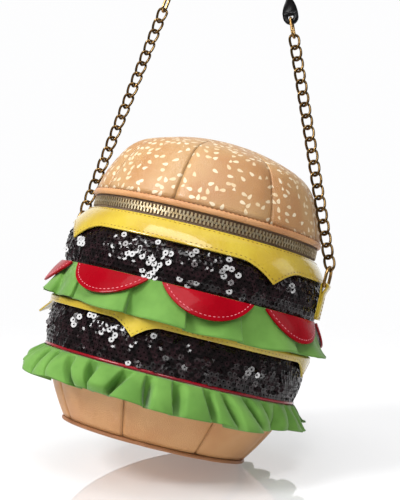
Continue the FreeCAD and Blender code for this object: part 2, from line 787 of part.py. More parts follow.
strap_bend = HOOK_RADIUS + STRAP_THICK / 2


def strap_middle():
    """Centre of the strap's bend, tangent to the lines of both chains."""
    right = chain_heading(1)
    left = chain_heading(-1)
    gap = eyelet(-1) + inward(-1) * strap_bend - eyelet(1) - inward(1) * strap_bend
    run = (gap.x * -left.z + gap.z * left.x) / (right.x * -left.z + right.z * left.x)
    return eyelet(1) + inward(1) * strap_bend + right * run


bend_middle = strap_middle()
hang_point = bend_middle + UP * HOOK_RADIUS


def strap_end(side):
    """One straight end of the strap: a rounded tongue with an eyelet, then a quarter twist."""
    heading = chain_heading(side)
    hole = eyelet(side)
    flat = inward(side)
    thick = SIDEWAYS * STRAP_THICK
    back = hole - thick / 2
    half = STRAP_WIDTH / 2
    tongue_end = back + heading * TONGUE_RUN
    nose = half - TONGUE_TIP
    left_low = back + flat * half + heading * nose
    right_low = back - flat * half + heading * nose
    face = edge_face([
        arc(left_low, back - heading * TONGUE_TIP, right_low),
        line(right_low, tongue_end - flat * half),
        line(tongue_end - flat * half, tongue_end + flat * half),
        line(tongue_end + flat * half, left_low),
    ])
    bore = Part.makeCylinder(EYELET_RADIUS, STRAP_THICK, back, SIDEWAYS)
    tongue = face.extrude(thick).cut(bore)
    bend_start = bend_middle - flat * strap_bend
    shares = [step / TWIST_STEPS for step in range(TWIST_STEPS + 1)]
    places = [(TONGUE_RUN + TWIST_RUN * share, math.radians(90.0 * share)) for share in shares]
    places.append(((bend_start - hole).dot(heading), math.radians(90.0)))
    sections = []
    for reach, turn in places:
        middle = hole + heading * reach
        wide = (flat * math.cos(turn) + SIDEWAYS * math.sin(turn)) * half
        deep = (SIDEWAYS * math.cos(turn) - flat * math.sin(turn)) * (STRAP_THICK / 2)
        corners = [middle + wide + deep, middle - wide + deep, middle - wide - deep, middle + wide - deep]
        sections.append(Part.makePolygon(corners + corners[:1]))
    return tongue.fuse(Part.makeLoft(sections, True, True))


def shoulder_strap():
    """The leather strap: two twisted ends and the bend that hangs over a hook."""
    outwards = inward(1) * -1
    width = SIDEWAYS * (STRAP_WIDTH / 2)
    near = bend_middle + outwards * HOOK_RADIUS
    far = bend_middle + outwards * (HOOK_RADIUS + STRAP_THICK)
    face = polygon_face([near - width, near + width, far + width, far - width])
    bend = face.revolve(bend_middle, SIDEWAYS * -1, 180.0 - RIGHT_LEAN - LEFT_LEAN)
    return bend.multiFuse([strap_end(1), strap_end(-1)]).removeSplitter()


def numbered(name, shapes):
    return {f"{name}_{index + 1}": shape for index, shape in enumerate(shapes)}


def all_pieces():
    """Every piece by name, still with its heights counted from the base."""
    pieces = {
        "base_panel": base_panel(),
        "base_piping": piping(BASE_RADIUS - BASE_PIPING_IN, base_piping_mid, BASE_PIPING),
        "lower_lettuce": lower_lettuce(),
        "red_piping": piping(patty_inner + RED_PIPING / 2 + RED_PIPING_OUT, red_piping_mid, RED_PIPING),
        "lower_patty": patty(lower_patty_bottom, LOWER_PATTY_HEIGHT, LOWER_PATTY_EDGE, LOWER_PATTY_MID),
        "lower_cheese": lower_cheese(),
        "upper_lettuce": upper_lettuce(),
        "upper_patty": patty(upper_patty_bottom, UPPER_PATTY_HEIGHT, UPPER_PATTY_EDGE, UPPER_PATTY_MID),
        "upper_cheese": upper_cheese(),
        "body_board": body_board(),
        "body_lining": body_lining(),
        "zip_tape_lower": tape(cheese_top - TAPE_TUCK, lower_teeth_bottom, lower_tape_end),
        "zip_teeth_lower": teeth(lower_teeth_bottom, 1, LOWER_TEETH_END, 0.0),
        "zip_stops": zip_stops(),
        "hinge_gusset": hinge_gusset(),
        "lid_rim_band": rim_band(),
        "lid_board": spun(dome_face(lid_board_inset, lid_board_inset + LID_BOARD, rim_bottom)),
        "lid_lining": spun(dome_face(lid_lining_inset, lid_lining_inset + LINING_THICK, rim_bottom)),
        "zip_tape_upper": tape(upper_teeth_top, rim_top, upper_tape_end),
        "zip_teeth_upper": teeth(upper_teeth_top, -1, UPPER_TEETH_END, 0.5),
        "zip_slider": zip_slider(),
        "zip_pull": zip_pull(),
        "shoulder_strap": shoulder_strap(),
    }
    pieces.update(numbered("bottom_bun_panel", bottom_bun_panels()))
    pieces.update(numbered("tomato_slice", tomato_slices()))
    pieces.update(numbered("top_bun_panel", top_bun_panels()))
    for name, side in (("left", -1), ("right", 1)):
        pieces[f"side_tab_{name}"] = side_tab(side)
        pieces[f"side_ring_{name}"] = side_ring(side)
        pieces[f"chain_{name}"] = chain(side)
        pieces[f"strap_ring_{name}"] = strap_ring(side)
    return pieces


def main():
    os.makedirs("parts", exist_ok=True)
    for name, shape in all_pieces().items():
        placed = shape.translated(hang_point * -1)
        placed.exportStep(f"parts/{name}.step")
        print(f"{name:22s} solids {len(placed.Solids):4d} volume {placed.Volume:10.1f}", placed.isValid())
    print("hang point above the base", [round(value, 2) for value in hang_point])
    print("rim band reaches", round(rim_outer + RIM_BAND_SWELL, 2))
    print("zip middle: z", round(zip_mid - hang_point.z, 2))
    print("swing axis: z", round(ring_bow_mid - hang_point.z, 2))
    pull_axis = polar(pull_pivot, -SLIDER_PARK, zip_mid)
    print("pull axis", [round(value, 3) for value in pull_axis - hang_point])


main()
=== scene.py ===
"""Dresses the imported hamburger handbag: sewn leather, cloth, sequins, patent slices, zip and chain.

Sizes are in millimetres above the base's underside and out from the bag's axis, and azimuths in degrees
from the front (-Y) towards +X. Every mesh is placed in the row frame, in metres.
"""
from __future__ import annotations

import bisect
import json
import logging
import math
import random
from dataclasses import dataclass, field
from enum import Enum
from typing import Callable, Iterable, Sequence

import bmesh
import bpy
from bmesh.types import BMEdge, BMesh, BMVert
from bpy.types import Material, Mesh, Node, NodeSocket, NodeTree, Object
from mathutils import Matrix, Vector, noise

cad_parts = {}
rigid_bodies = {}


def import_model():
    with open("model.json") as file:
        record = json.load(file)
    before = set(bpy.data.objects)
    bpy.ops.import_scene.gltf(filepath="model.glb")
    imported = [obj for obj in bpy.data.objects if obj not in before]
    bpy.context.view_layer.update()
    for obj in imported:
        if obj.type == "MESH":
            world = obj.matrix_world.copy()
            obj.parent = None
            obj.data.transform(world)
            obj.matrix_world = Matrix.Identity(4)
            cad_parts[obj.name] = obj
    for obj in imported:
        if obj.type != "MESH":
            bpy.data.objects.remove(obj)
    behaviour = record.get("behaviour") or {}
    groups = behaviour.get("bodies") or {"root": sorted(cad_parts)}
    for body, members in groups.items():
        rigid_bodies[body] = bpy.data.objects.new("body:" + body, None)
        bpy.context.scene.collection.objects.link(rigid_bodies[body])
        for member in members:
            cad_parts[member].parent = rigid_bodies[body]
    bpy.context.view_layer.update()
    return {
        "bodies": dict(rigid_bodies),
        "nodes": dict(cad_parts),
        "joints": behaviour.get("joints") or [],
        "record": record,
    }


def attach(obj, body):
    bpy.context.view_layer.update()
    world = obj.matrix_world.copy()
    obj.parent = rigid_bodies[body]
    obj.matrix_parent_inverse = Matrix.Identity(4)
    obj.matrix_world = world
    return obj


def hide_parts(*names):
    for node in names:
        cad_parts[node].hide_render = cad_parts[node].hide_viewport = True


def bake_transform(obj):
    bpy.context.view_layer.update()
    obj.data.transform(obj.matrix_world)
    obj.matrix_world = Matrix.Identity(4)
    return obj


log = logging.getLogger("handbag")

MM = 0.001
AXIS_X = 0.03548            # the bag's axis in the row frame
BASE_Z = -0.40422           # the base's underside in the row frame
AXIS_POINT = (AXIS_X, 0.0, 0.0)
UP = Vector((0.0, 0.0, 1.0))
FRONT_TO_BACK = Vector((0.0, 1.0, 0.0))
WELD = 2e-6                 # verts nearer than this are merged
SEED_CELL = 0.0053          # from one sesame seed to the next, in metres
SEED_LONG = 0.40            # half a seed's length, as a share of its cell
SEED_WIDE = 0.22
SEED_TAPER = 0.42           # how much narrower a seed is at its tip
SEED_TURN = 2.2             # how far a seed turns either way, in radians
PRINT_STEP = (0.37, 0.21)   # from one panel's piece of the print to the next, in metres
PLAIN = 100.0               # radius and top of the plain band that a slice is shaped from

Colour = tuple[float, float, float]
Point = tuple[float, float]
Place = tuple[float, float, float]      # radius, azimuth and height
Line = list[Point]


class Body(Enum):
    """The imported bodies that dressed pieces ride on."""

    STRAP = "strap"
    BAG = "bag"
    LID = "lid"


class Side(Enum):
    """The bag's two sides, with the sign of their X."""

    LEFT = -1
    RIGHT = 1

    @property
    def word(self) -> str:
        """The side's name as the nodes use it."""
        return self.name.lower()


def srgb(red: float, green: float, blue: float) -> Colour:
    """Turns a colour of 0 to 255 per channel into linear values.

    Args:
        red: Red as shown on a screen.
        green: Green as shown on a screen.
        blue: Blue as shown on a screen.

    Returns:
        The linear colour.
    """
    def linear(value: float) -> float:
        """One channel made linear."""
        share = value / 255.0
        return share / 12.92 if share <= 0.04045 else ((share + 0.055) / 1.055) ** 2.4

    return linear(red), linear(green), linear(blue)


def at(radius: float, azimuth: float, height: float) -> Vector:
    """A point of the row frame from a radius, an azimuth and a height above the base."""
    turn = math.radians(azimuth)
    return Vector((AXIS_X + radius * MM * math.sin(turn), -radius * MM * math.cos(turn),
                   BASE_Z + height * MM))


def where(point: Vector) -> Place:
    """The bag's own measures of a point of the row frame.

    Args:
        point: The point, in metres.

    Returns:
        Radius, azimuth and height above the base.
    """
    across = point.x - AXIS_X
    azimuth = math.degrees(math.atan2(across, -point.y))
    return math.hypot(across, point.y) / MM, azimuth, (point.z - BASE_Z) / MM


def outward(azimuth: float) -> Vector:
    """The level unit vector away from the bag's axis."""
    turn = math.radians(azimuth)
    return Vector((math.sin(turn), -math.cos(turn), 0.0))


def turn_between(first: float, second: float) -> float:
    """The signed turn from one azimuth to another, within half a circle."""
    return (second - first + 180.0) % 360.0 - 180.0


def between(first: Point, second: Point, share: float) -> Point:
    """A point at a share of the way from one point to another."""
    return first[0] + (second[0] - first[0]) * share, first[1] + (second[1] - first[1]) * share


def arc(middle: Point, radius: float, first: float, last: float, steps: int) -> Line:
    """Points along an arc.

    Args:
        middle: The arc's middle.
        radius: Its radius.
        first: The angle at which it starts, in degrees.
        last: The angle at which it ends.
        steps: The number of steps.

    Returns:
        The points, with both ends.
    """
    turns = [math.radians(first + (last - first) * step / steps) for step in range(steps + 1)]
    return [(middle[0] + radius * math.cos(turn), middle[1] + radius * math.sin(turn)) for turn in turns]


def drift(azimuth: float, scale: float, layer: float) -> float:
    """Smooth noise that closes round the bag."""
    turn = math.radians(azimuth)
    return noise.noise(Vector((math.cos(turn) * scale, math.sin(turn) * scale, layer)))


class Graph:
    """A node tree with short calls to add nodes and feed their sockets."""

    def __init__(self, tree: NodeTree) -> None:
        """Keeps the tree that nodes are added to."""
        self.tree = tree

    def feed(self, node: Node, socket: str | int, value: object) -> None:
        """Links a socket to another node's output, or sets its value.

        Args:
            node: The node that takes the value.
            socket: The socket's name or number.
            value: An output socket, or a plain value.
        """
        target = node.inputs[socket]
        if isinstance(value, NodeSocket):
            self.tree.links.new(value, target)
        else:
            target.default_value = value

    def add(self, kind: str, feeds: dict | None = None, **settings: object) -> Node:
        """Adds a node.

        Args:
            kind: The node's type name.
            feeds: Values or output sockets by socket name or number.
            **settings: The node's own properties.

        Returns:
            The new node.
        """
        node = self.tree.nodes.new(kind)
        for name, value in settings.items():
            setattr(node, name, value)
        for socket, value in (feeds or {}).items():
            self.feed(node, socket, value)
        return node

    def math(self, operation: str, *values: object) -> NodeSocket:
        """A Math node's result."""
        return self.add("ShaderNodeMath", dict(enumerate(values)), operation=operation).outputs[0]

    def ramp(self, value: object, low: float, high: float, start: float, end: float) -> NodeSocket:
        """A value mapped smoothly from one range to another."""
        feeds = {0: value, 1: low, 2: high, 3: start, 4: end}
        return self.add("ShaderNodeMapRange", feeds, interpolation_type="SMOOTHSTEP").outputs[0]

    def mix(self, share: object, first: object, second: object) -> NodeSocket:
        """A colour between two others."""
        node = self.add("ShaderNodeMix", {0: share, 6: first, 7: second}, data_type="RGBA")
        return node.outputs[2]

    def noise(self, vector: object, scale: float, detail: float = 2.0) -> NodeSocket:
        """A noise value over a vector."""
        feeds = {"Vector": vector, "Scale": scale, "Detail": detail}
        return self.add("ShaderNodeTexNoise", feeds).outputs["Fac"]

    def uneven(self, place: Node, scale: float, low: float, high: float) -> NodeSocket:
        """A value that wanders over an object between two others."""
        return self.ramp(self.noise(place.outputs["Object"], scale), 0.3, 0.7, low, high)

    def bump(self, height: object, depth: float) -> NodeSocket:
        """A normal raised by a height of a given depth in metres."""
        return self.add("ShaderNodeBump", {"Height": height, "Distance": depth}).outputs["Normal"]

    def group(self, tree: NodeTree, feeds: dict) -> Node:
        """A shared effect placed in this tree."""
        return self.add("ShaderNodeGroup", feeds, node_tree=tree)


class Effect(Enum):
    """The shared shader effects, each a node group that is built once."""

    TONE = "slow_tone"
    GRAIN = "leather_grain"
    WEAVE = "plain_weave"
    SESAME = "sesame_print"
    PATINA = "metal_patina"

    def tree(self) -> NodeTree:
        """The effect's node group.

        Returns:
            The group, made on first use.
        """
        kept = bpy.data.node_groups.get(self.value)
        if kept:
            return kept
        made = bpy.data.node_groups.new(self.value, "ShaderNodeTree")
        builders = {
            Effect.TONE: self._tone,
            Effect.GRAIN: self._grain,
            Effect.WEAVE: self._weave,
            Effect.SESAME: self._sesame,
            Effect.PATINA: self._patina,
        }
        builders[self](made)
        return made

    @staticmethod
    def _ends(made: NodeTree, inputs: dict[str, str], outputs: dict[str, str]) -> tuple:
        """Makes a group's sockets.

        Args:
            made: The group.
            inputs: Socket types by input name, without their common prefix.
            outputs: Socket types by output name, without their common prefix.

        Returns:
            A graph of the group, its input node and its output node.
        """
        for flow, sockets in (("INPUT", inputs), ("OUTPUT", outputs)):
            for name, kind in sockets.items():
                made.interface.new_socket(name=name, in_out=flow, socket_type=f"NodeSocket{kind}")
        graph = Graph(made)
        return graph, graph.add("NodeGroupInput"), graph.add("NodeGroupOutput")

    def _tone(self, made: NodeTree) -> None:
        """Slow drifts between two tones of a colour.

        Args:
            made: The empty group.
        """
        inputs = {"Vector": "Vector", "Light": "Color", "Deep": "Color", "Scale": "Float"}
        graph, given, result = self._ends(made, inputs, {"Color": "Color"})
        clouds = graph.noise(given.outputs["Vector"], given.outputs["Scale"], 3.0)
        share = graph.ramp(clouds, 0.35, 0.68, 0.0, 1.0)
        graph.feed(result, "Color", graph.mix(share, given.outputs["Light"], given.outputs["Deep"]))

    def _grain(self, made: NodeTree) -> None:
        """Leather's small cells with creases between them.

        Args:
            made: The empty group.
        """
        graph, given, result = self._ends(made, {"Vector": "Vector", "Scale": "Float"}, {"Height": "Float"})
        feeds = {"Vector": given.outputs["Vector"], "Scale": given.outputs["Scale"]}
        cells = graph.add("ShaderNodeTexVoronoi", feeds, feature="DISTANCE_TO_EDGE")
        crease = graph.ramp(cells.outputs["Distance"], 0.0, 0.22, 0.0, 1.0)
        fine = graph.noise(given.outputs["Vector"], given.outputs["Scale"], 4.0)
        graph.feed(result, "Height", graph.math("MULTIPLY_ADD", fine, 0.4, crease))

    def _weave(self, made: NodeTree) -> None:
        """Warp and weft threads that pass over and under each other.

        Args:
            made: The empty group.
        """
        graph, given, result = self._ends(made, {"Vector": "Vector", "Threads": "Float"}, {"Height": "Float"})
        parts = graph.add("ShaderNodeSeparateXYZ", {0: given.outputs["Vector"]})
        rounds = []
        for axis in ("X", "Y"):
            turns = graph.math("MULTIPLY", parts.outputs[axis], given.outputs["Threads"])
            rounds.append(graph.math("MULTIPLY", turns, math.pi))
        over = graph.math("MULTIPLY", graph.math("SINE", rounds[0]), graph.math("SINE", rounds[1]))
        ridges = [graph.math("ABSOLUTE", graph.math("COSINE", turn)) for turn in rounds]
        share = graph.ramp(over, -0.2, 0.2, 0.0, 1.0)
        first = graph.math("MULTIPLY", ridges[0], share)
        second = graph.math("MULTIPLY", ridges[1], graph.math("SUBTRACT", 1.0, share))
        graph.feed(result, "Height", graph.math("ADD", first, second))

    def _sesame(self, made: NodeTree) -> None:
        """Scattered teardrop seeds, thick in some places and bare in others, on a UV map in metres.

        Args:
            made: The empty group.
        """
        graph, given, result = self._ends(made, {"Vector": "Vector"}, {"Seed": "Float", "Shade": "Float"})
        feeds = {0: given.outputs["Vector"], "Scale": 1.0 / SEED_CELL}
        place = graph.add("ShaderNodeVectorMath", feeds, operation="SCALE").outputs[0]
        feeds = {"Vector": place, "Scale": 1.0, "Randomness": 0.85}
        cells = graph.add("ShaderNodeTexVoronoi", feeds, voronoi_dimensions="2D", feature="F1")
        chance = graph.add("ShaderNodeSeparateColor", {0: cells.outputs["Color"]})
        local = graph.add("ShaderNodeVectorMath", {0: place, 1: cells.outputs["Position"]},
                          operation="SUBTRACT")
        angle = graph.math("MULTIPLY_ADD", chance.outputs[0], 2 * SEED_TURN, -SEED_TURN)
        feeds = {"Vector": local.outputs[0], "Angle": angle}
        turned = graph.add("ShaderNodeVectorRotate", feeds, rotation_type="Z_AXIS")
        parts = graph.add("ShaderNodeSeparateXYZ", {0: turned.outputs[0]})
        along = graph.math("DIVIDE", parts.outputs["Y"], SEED_LONG)
        taper = graph.math("MULTIPLY_ADD", along, -SEED_TAPER, 1.0)
        across = graph.math("DIVIDE", graph.math("DIVIDE", parts.outputs["X"], SEED_WIDE), taper)
        reach = graph.math("ADD", graph.math("MULTIPLY", across, across),
                           graph.math("MULTIPLY", along, along))
        shape = graph.ramp(reach, 0.72, 1.12, 1.0, 0.0)
        thick = graph.ramp(graph.noise(place, 0.22, 1.0), 0.36, 0.64, 0.36, 0.7)
        kept = graph.math("LESS_THAN", chance.outputs[1], thick)
        graph.feed(result, "Seed", graph.math("MULTIPLY", shape, kept))
        graph.feed(result, "Shade", chance.outputs[2])

    def _patina(self, made: NodeTree) -> None:
        """Worn bright patches between dark ones, on old metal.

        Args:
            made: The empty group.
        """
        inputs = {"Vector": "Vector", "Bright": "Color", "Dark": "Color", "Scale": "Float"}
        graph, given, result = self._ends(made, inputs, {"Color": "Color", "Rough": "Float"})
        patch = graph.noise(given.outputs["Vector"], given.outputs["Scale"], 5.0)
        share = graph.ramp(patch, 0.38, 0.62, 0.0, 1.0)
        graph.feed(result, "Color", graph.mix(share, given.outputs["Bright"], given.outputs["Dark"]))
        graph.feed(result, "Rough", graph.ramp(share, 0.0, 1.0, 0.2, 0.42))


@dataclass(frozen=True)
class Finish:
    """A named surface, built once as a material."""

    name: str

    def material(self) -> Material:
        """The finish's material.

        Returns:
            The material, made on first use.
        """
        kept = bpy.data.materials.get(self.name)
        if kept:
            return kept
        made = bpy.data.materials.new(self.name)
        made.use_nodes = True
        made.node_tree.nodes.clear()
        graph = Graph(made.node_tree)
        shader = graph.add("ShaderNodeBsdfPrincipled")
        graph.add("ShaderNodeOutputMaterial", {"Surface": shader.outputs["BSDF"]})
        place = graph.add("ShaderNodeTexCoord")
        self.dress(graph, shader, place)
        return made

    def dress(self, graph: Graph, shader: Node, place: Node) -> None:
        """Feeds the shader; each kind of finish has its own way."""
        raise NotImplementedError

    def tone(self, graph: Graph, place: Node, light: Colour, deep: Colour, scale: float) -> NodeSocket:
        """A colour that drifts slowly between two tones."""
        feeds = {"Vector": place.outputs["Object"], "Light": (*light, 1.0), "Deep": (*deep, 1.0),
                 "Scale": scale}
        return graph.group(Effect.TONE.tree(), feeds).outputs["Color"]


@dataclass(frozen=True)
class Leather(Finish):
    """Smooth sewn leather with a fine grain."""

    light: Colour
    deep: Colour
    rough: float = 0.42
    grain: float = 1100.0
    depth: float = 0.00012
    shine: float = 0.5
    wear: float = 0.07          # how far the roughness wanders either way
    sesame: bool = False
    seed_colour: Colour = srgb(243, 226, 194)
    seed_shade: Colour = srgb(228, 200, 156)

    def dress(self, graph: Graph, shader: Node, place: Node) -> None:
        """Feeds colour, gloss and grain.

        Args:
            graph: The material's nodes.
            shader: The shader to feed.
            place: The texture coordinates.
        """
        colour = self.tone(graph, place, self.light, self.deep, 26.0)
        if self.sesame:
            print_of = graph.group(Effect.SESAME.tree(), {"Vector": place.outputs["UV"]})
            seed = graph.mix(print_of.outputs["Shade"], (*self.seed_colour, 1.0), (*self.seed_shade, 1.0))
            colour = graph.mix(print_of.outputs["Seed"], colour, seed)
        graph.feed(shader, "Base Color", colour)
        feeds = {"Vector": place.outputs["Object"], "Scale": self.grain}
        grain = graph.group(Effect.GRAIN.tree(), feeds).outputs["Height"]
        graph.feed(shader, "Normal", graph.bump(grain, self.depth))
        graph.feed(shader, "Roughness",
                   graph.uneven(place, 60.0, self.rough - self.wear, self.rough + self.wear))
        graph.feed(shader, "Specular IOR Level", self.shine)


@dataclass(frozen=True)
class Patent(Finish):
    """Lacquered leather with a soft, slightly rippled gloss."""

    light: Colour
    deep: Colour
    ripple: float = 420.0
    depth: float = 0.00022
    lacquer: float = 0.5

    def dress(self, graph: Graph, shader: Node, place: Node) -> None:
        """Feeds colour, lacquer and ripple.

        Args:
            graph: The material's nodes.
            shader: The shader to feed.
            place: The texture coordinates.
        """
        graph.feed(shader, "Base Color", self.tone(graph, place, self.light, self.deep, 40.0))
        ripple = graph.noise(place.outputs["Object"], self.ripple, 3.0)
        graph.feed(shader, "Normal", graph.bump(ripple, self.depth))
        graph.feed(shader, "Roughness", graph.uneven(place, 90.0, 0.22, 0.34))
        graph.feed(shader, "Specular IOR Level", 0.5 * self.lacquer)
        graph.feed(shader, "Coat Weight", self.lacquer)
        graph.feed(shader, "Coat Roughness", 0.07)


@dataclass(frozen=True)
class Cloth(Finish):
    """Woven cloth, with its weave on the piece's UV map."""

    light: Colour
    deep: Colour
    threads: float = 1700.0
    rough: float = 0.72
    depth: float = 0.00009
    sheen: float = 0.25

    def dress(self, graph: Graph, shader: Node, place: Node) -> None:
        """Feeds colour, weave and sheen, with painted shade in the weave's hollows.

        Args:
            graph: The material's nodes.
            shader: The shader to feed.
            place: The texture coordinates.
        """
        colour = self.tone(graph, place, self.light, self.deep, 55.0)
        feeds = {"Vector": place.outputs["UV"], "Threads": self.threads}
        weave = graph.group(Effect.WEAVE.tree(), feeds).outputs["Height"]
        # painted shade: the weave's hollows are mixed towards the deep tone
        hollow = graph.ramp(weave, 0.2, 0.8, 0.18, 0.0)
        graph.feed(shader, "Base Color", graph.mix(hollow, colour, (*self.deep, 1.0)))
        graph.feed(shader, "Normal", graph.bump(weave, self.depth))
        graph.feed(shader, "Roughness", self.rough)
        graph.feed(shader, "Sheen Weight", self.sheen)
        graph.feed(shader, "Sheen Roughness", 0.4)


@dataclass(frozen=True)
class Sequins(Finish):
    """Cupped plastic discs, near black, each with its own shade."""

    dark: Colour
    plum: Colour

    def dress(self, graph: Graph, shader: Node, place: Node) -> None:
        """Feeds each disc's shade and its gloss.

        Args:
            graph: The material's nodes.
            shader: The shader to feed.
            place: The texture coordinates.
        """
        shade = graph.add("ShaderNodeAttribute", attribute_name="disc_shade").outputs["Fac"]
        graph.feed(shader, "Base Color", graph.mix(shade, (*self.dark, 1.0), (*self.plum, 1.0)))
        graph.feed(shader, "Roughness", graph.uneven(place, 700.0, 0.08, 0.2))
        graph.feed(shader, "Specular IOR Level", 0.42)


@dataclass(frozen=True)
class Metal(Finish):
    """Aged or polished brass."""

    bright: Colour
    dark: Colour
    scale: float = 240.0
    satin: float = 0.0          # added to the roughness

    def dress(self, graph: Graph, shader: Node, place: Node) -> None:
        """Feeds the patina and fine scratches.

        Args:
            graph: The material's nodes.
            shader: The shader to feed.
            place: The texture coordinates.
        """
        feeds = {"Vector": place.outputs["Object"], "Bright": (*self.bright, 1.0), "Dark": (*self.dark, 1.0),
                 "Scale": self.scale}
        patina = graph.group(Effect.PATINA.tree(), feeds)
        graph.feed(shader, "Base Color", patina.outputs["Color"])
        graph.feed(shader, "Roughness", graph.math("ADD", patina.outputs["Rough"], self.satin))
        graph.feed(shader, "Metallic", 1.0)
        scratch = graph.noise(place.outputs["Object"], 1500.0, 4.0)
        graph.feed(shader, "Normal", graph.bump(scratch, 0.00004))


@dataclass(frozen=True)
class Floor(Finish):
    """A pale, slightly glossy studio floor."""

    colour: Colour
    glow: float                 # light from below the floor, which keeps its shadow pale
    mirror: float = 3.2         # the index of refraction of its lacquer
    fade: Point = (0.22, 0.75)  # where it starts to fade into the backdrop, and where it ends, in metres

    def dress(self, graph: Graph, shader: Node, place: Node) -> None:
        """Feeds a faintly uneven gloss, and the fade round the bag.

        Args:
            graph: The material's nodes.
            shader: The shader to feed.
            place: The texture coordinates.
        """
        graph.feed(shader, "Base Color", (*self.colour, 1.0))
        graph.feed(shader, "IOR", self.mirror)
        graph.feed(shader, "Emission Color", (1.0, 1.0, 1.0, 1.0))
        graph.feed(shader, "Emission Strength", self.glow)
        graph.feed(shader, "Roughness", graph.uneven(place, 6.0, 0.03, 0.05))
        feeds = {0: place.outputs["Object"], 1: tuple(at(0.0, 0.0, 0.0))}
        away = graph.add("ShaderNodeVectorMath", feeds, operation="DISTANCE").outputs["Value"]
        graph.feed(shader, "Alpha", graph.ramp(away, *self.fade, 1.0, 0.0))


BUN_LEATHER = Leather("finish_bun_leather", srgb(208, 156, 104), srgb(196, 138, 86))
SESAME_LEATHER = Leather("finish_sesame_leather", srgb(198, 155, 102), srgb(186, 131, 77), rough=0.37,
                         shine=0.9, sesame=True)
RIM_LEATHER = Leather("finish_rim_leather", srgb(216, 160, 108), srgb(196, 136, 88), rough=0.36)
PIPING_LEATHER = Leather("finish_piping_leather", srgb(176, 118, 74), srgb(148, 94, 56))
BLACK_LEATHER = Leather("finish_black_leather", srgb(9, 8, 9), srgb(15, 13, 14), rough=0.34, grain=1300.0,
                        depth=0.00002, shine=0.22)
YELLOW_PATENT = Patent("finish_yellow_patent", srgb(204, 179, 58), srgb(192, 161, 44), lacquer=0.8)
RED_PATENT = Patent("finish_red_patent", srgb(160, 1, 22), srgb(144, 0, 17), ripple=300.0, depth=0.00014,
                    lacquer=0.12)
RED_CORD = Patent("finish_red_cord", srgb(142, 8, 26), srgb(122, 4, 18), ripple=300.0, depth=0.00014)
GREEN_CLOTH = Cloth("finish_green_cloth", srgb(106, 156, 61), srgb(90, 140, 48))
PATTY_NET = Cloth("finish_patty_net", srgb(16, 11, 12), srgb(8, 6, 6), threads=900.0)
TAPE_CLOTH = Cloth("finish_zip_tape", srgb(124, 100, 76), srgb(96, 74, 54), threads=1200.0, depth=0.00015)
LINING_CLOTH = Cloth("finish_lining", srgb(150, 118, 88), srgb(128, 98, 70), threads=1500.0)
BOARD = Cloth("finish_board", srgb(172, 158, 138), srgb(150, 136, 116), threads=500.0, sheen=0.0)
SEQUINS = Sequins("finish_sequins", srgb(12, 7, 8), srgb(40, 23, 27))
CHAIN_METAL = Metal("finish_chain_metal", srgb(140, 112, 70), srgb(84, 62, 34))
GOLD_METAL = Metal("finish_gold_metal", srgb(196, 160, 104), srgb(160, 124, 74))
ZIP_METAL = Metal("finish_zip_metal", srgb(226, 210, 176), srgb(184, 162, 124), scale=500.0, satin=0.2)
YELLOW_THREAD = Cloth("finish_yellow_thread", srgb(140, 104, 18), srgb(116, 84, 12), threads=900.0)
RED_THREAD = Cloth("finish_pale_red_thread", srgb(240, 150, 160), srgb(220, 110, 124), threads=900.0)
TAN_THREAD = Cloth("finish_tan_thread", srgb(150, 92, 52), srgb(128, 74, 40), threads=900.0)
FLOOR = Floor("finish_floor", (0.69, 0.69, 0.7), 0.18)


def spun(bm: BMesh, line: Line, start: float, sweep: float, steps: int) -> None:
    """Turns an open line about the bag's axis.

    Args:
        bm: The mesh that takes the surface.
        line: Pairs of radius and height, from one edge of the surface to the other.
        start: The azimuth of the first copy.
        sweep: The turn, where 360 closes the surface.
        steps: The number of faces round the turn.
    """
    verts = [bm.verts.new(at(radius, start, height)) for radius, height in line]
    edges = [bm.edges.new(pair) for pair in zip(verts, verts[1:])]
    closed = abs(sweep - 360.0) < 1e-6
    bmesh.ops.spin(bm, geom=verts + edges, cent=AXIS_POINT, axis=UP, angle=math.radians(sweep), steps=steps,
                   use_merge=closed)


def spun_solid(bm: BMesh, line: Line, steps: int) -> None:
    """Turns a closed line of radius and height once round the bag's axis.

    Args:
        bm: The mesh to add to.
        line: The closed line.
        steps: The number of steps round.
    """
    verts = [bm.verts.new(at(radius, 0.0, height)) for radius, height in line]
    edges = [bm.edges.new(pair) for pair in zip(verts, verts[1:] + verts[:1])]
    bmesh.ops.spin(bm, geom=verts + edges, cent=AXIS_POINT, axis=UP, angle=math.tau, steps=steps,
                   use_merge=True)


def reshape(bm: BMesh, move: Callable[[float, float, float], Place]) -> None:
    """Moves every vertex by a rule on its radius, azimuth and height."""
    for vert in bm.verts:
        vert.co = at(*move(*where(vert.co)))


def lay_uv(bm: BMesh, line: Line, shift: Point = (0.0, 0.0), middle: float = 0.0) -> None:
    """Gives a piece that was spun round the axis a UV map in metres: round the bag, and along its side line.

    Args:
        bm: The mesh, still on its side line.
        line: The side line.
        shift: Where the map starts, in metres.
        middle: The azimuth that the map is measured from.
    """
    lengths = [0.0]
    for first, second in zip(line, line[1:]):
        lengths.append(lengths[-1] + math.dist(first, second))
    known: dict[tuple[int, int], float] = {}

    def down(radius: float, height: float) -> float:
        """How far along the side line a point lies.

        Args:
            radius: The point's radius.
            height: Its height.

        Returns:
            The length from the line's start, in millimetres.
        """
        key = (round(radius * 10.0), round(height * 10.0))
        if key not in known:
            row = min(range(len(line)), key=lambda number: math.dist(line[number], (radius, height)))
            known[key] = lengths[row]
        return known[key]

    layer = bm.loops.layers.uv.new("UVMap")
    for face in bm.faces:
        heading = where(face.calc_center_median())[1]
        for loop in face.loops:
            radius, azimuth, height = where(loop.vert.co)
            around = turn_between(middle, heading) + turn_between(heading, azimuth)
            loop[layer].uv = (
                shift[0] + math.radians(around) * max(radius, 1.0) * MM,
                shift[1] + down(radius, height) * MM,
            )


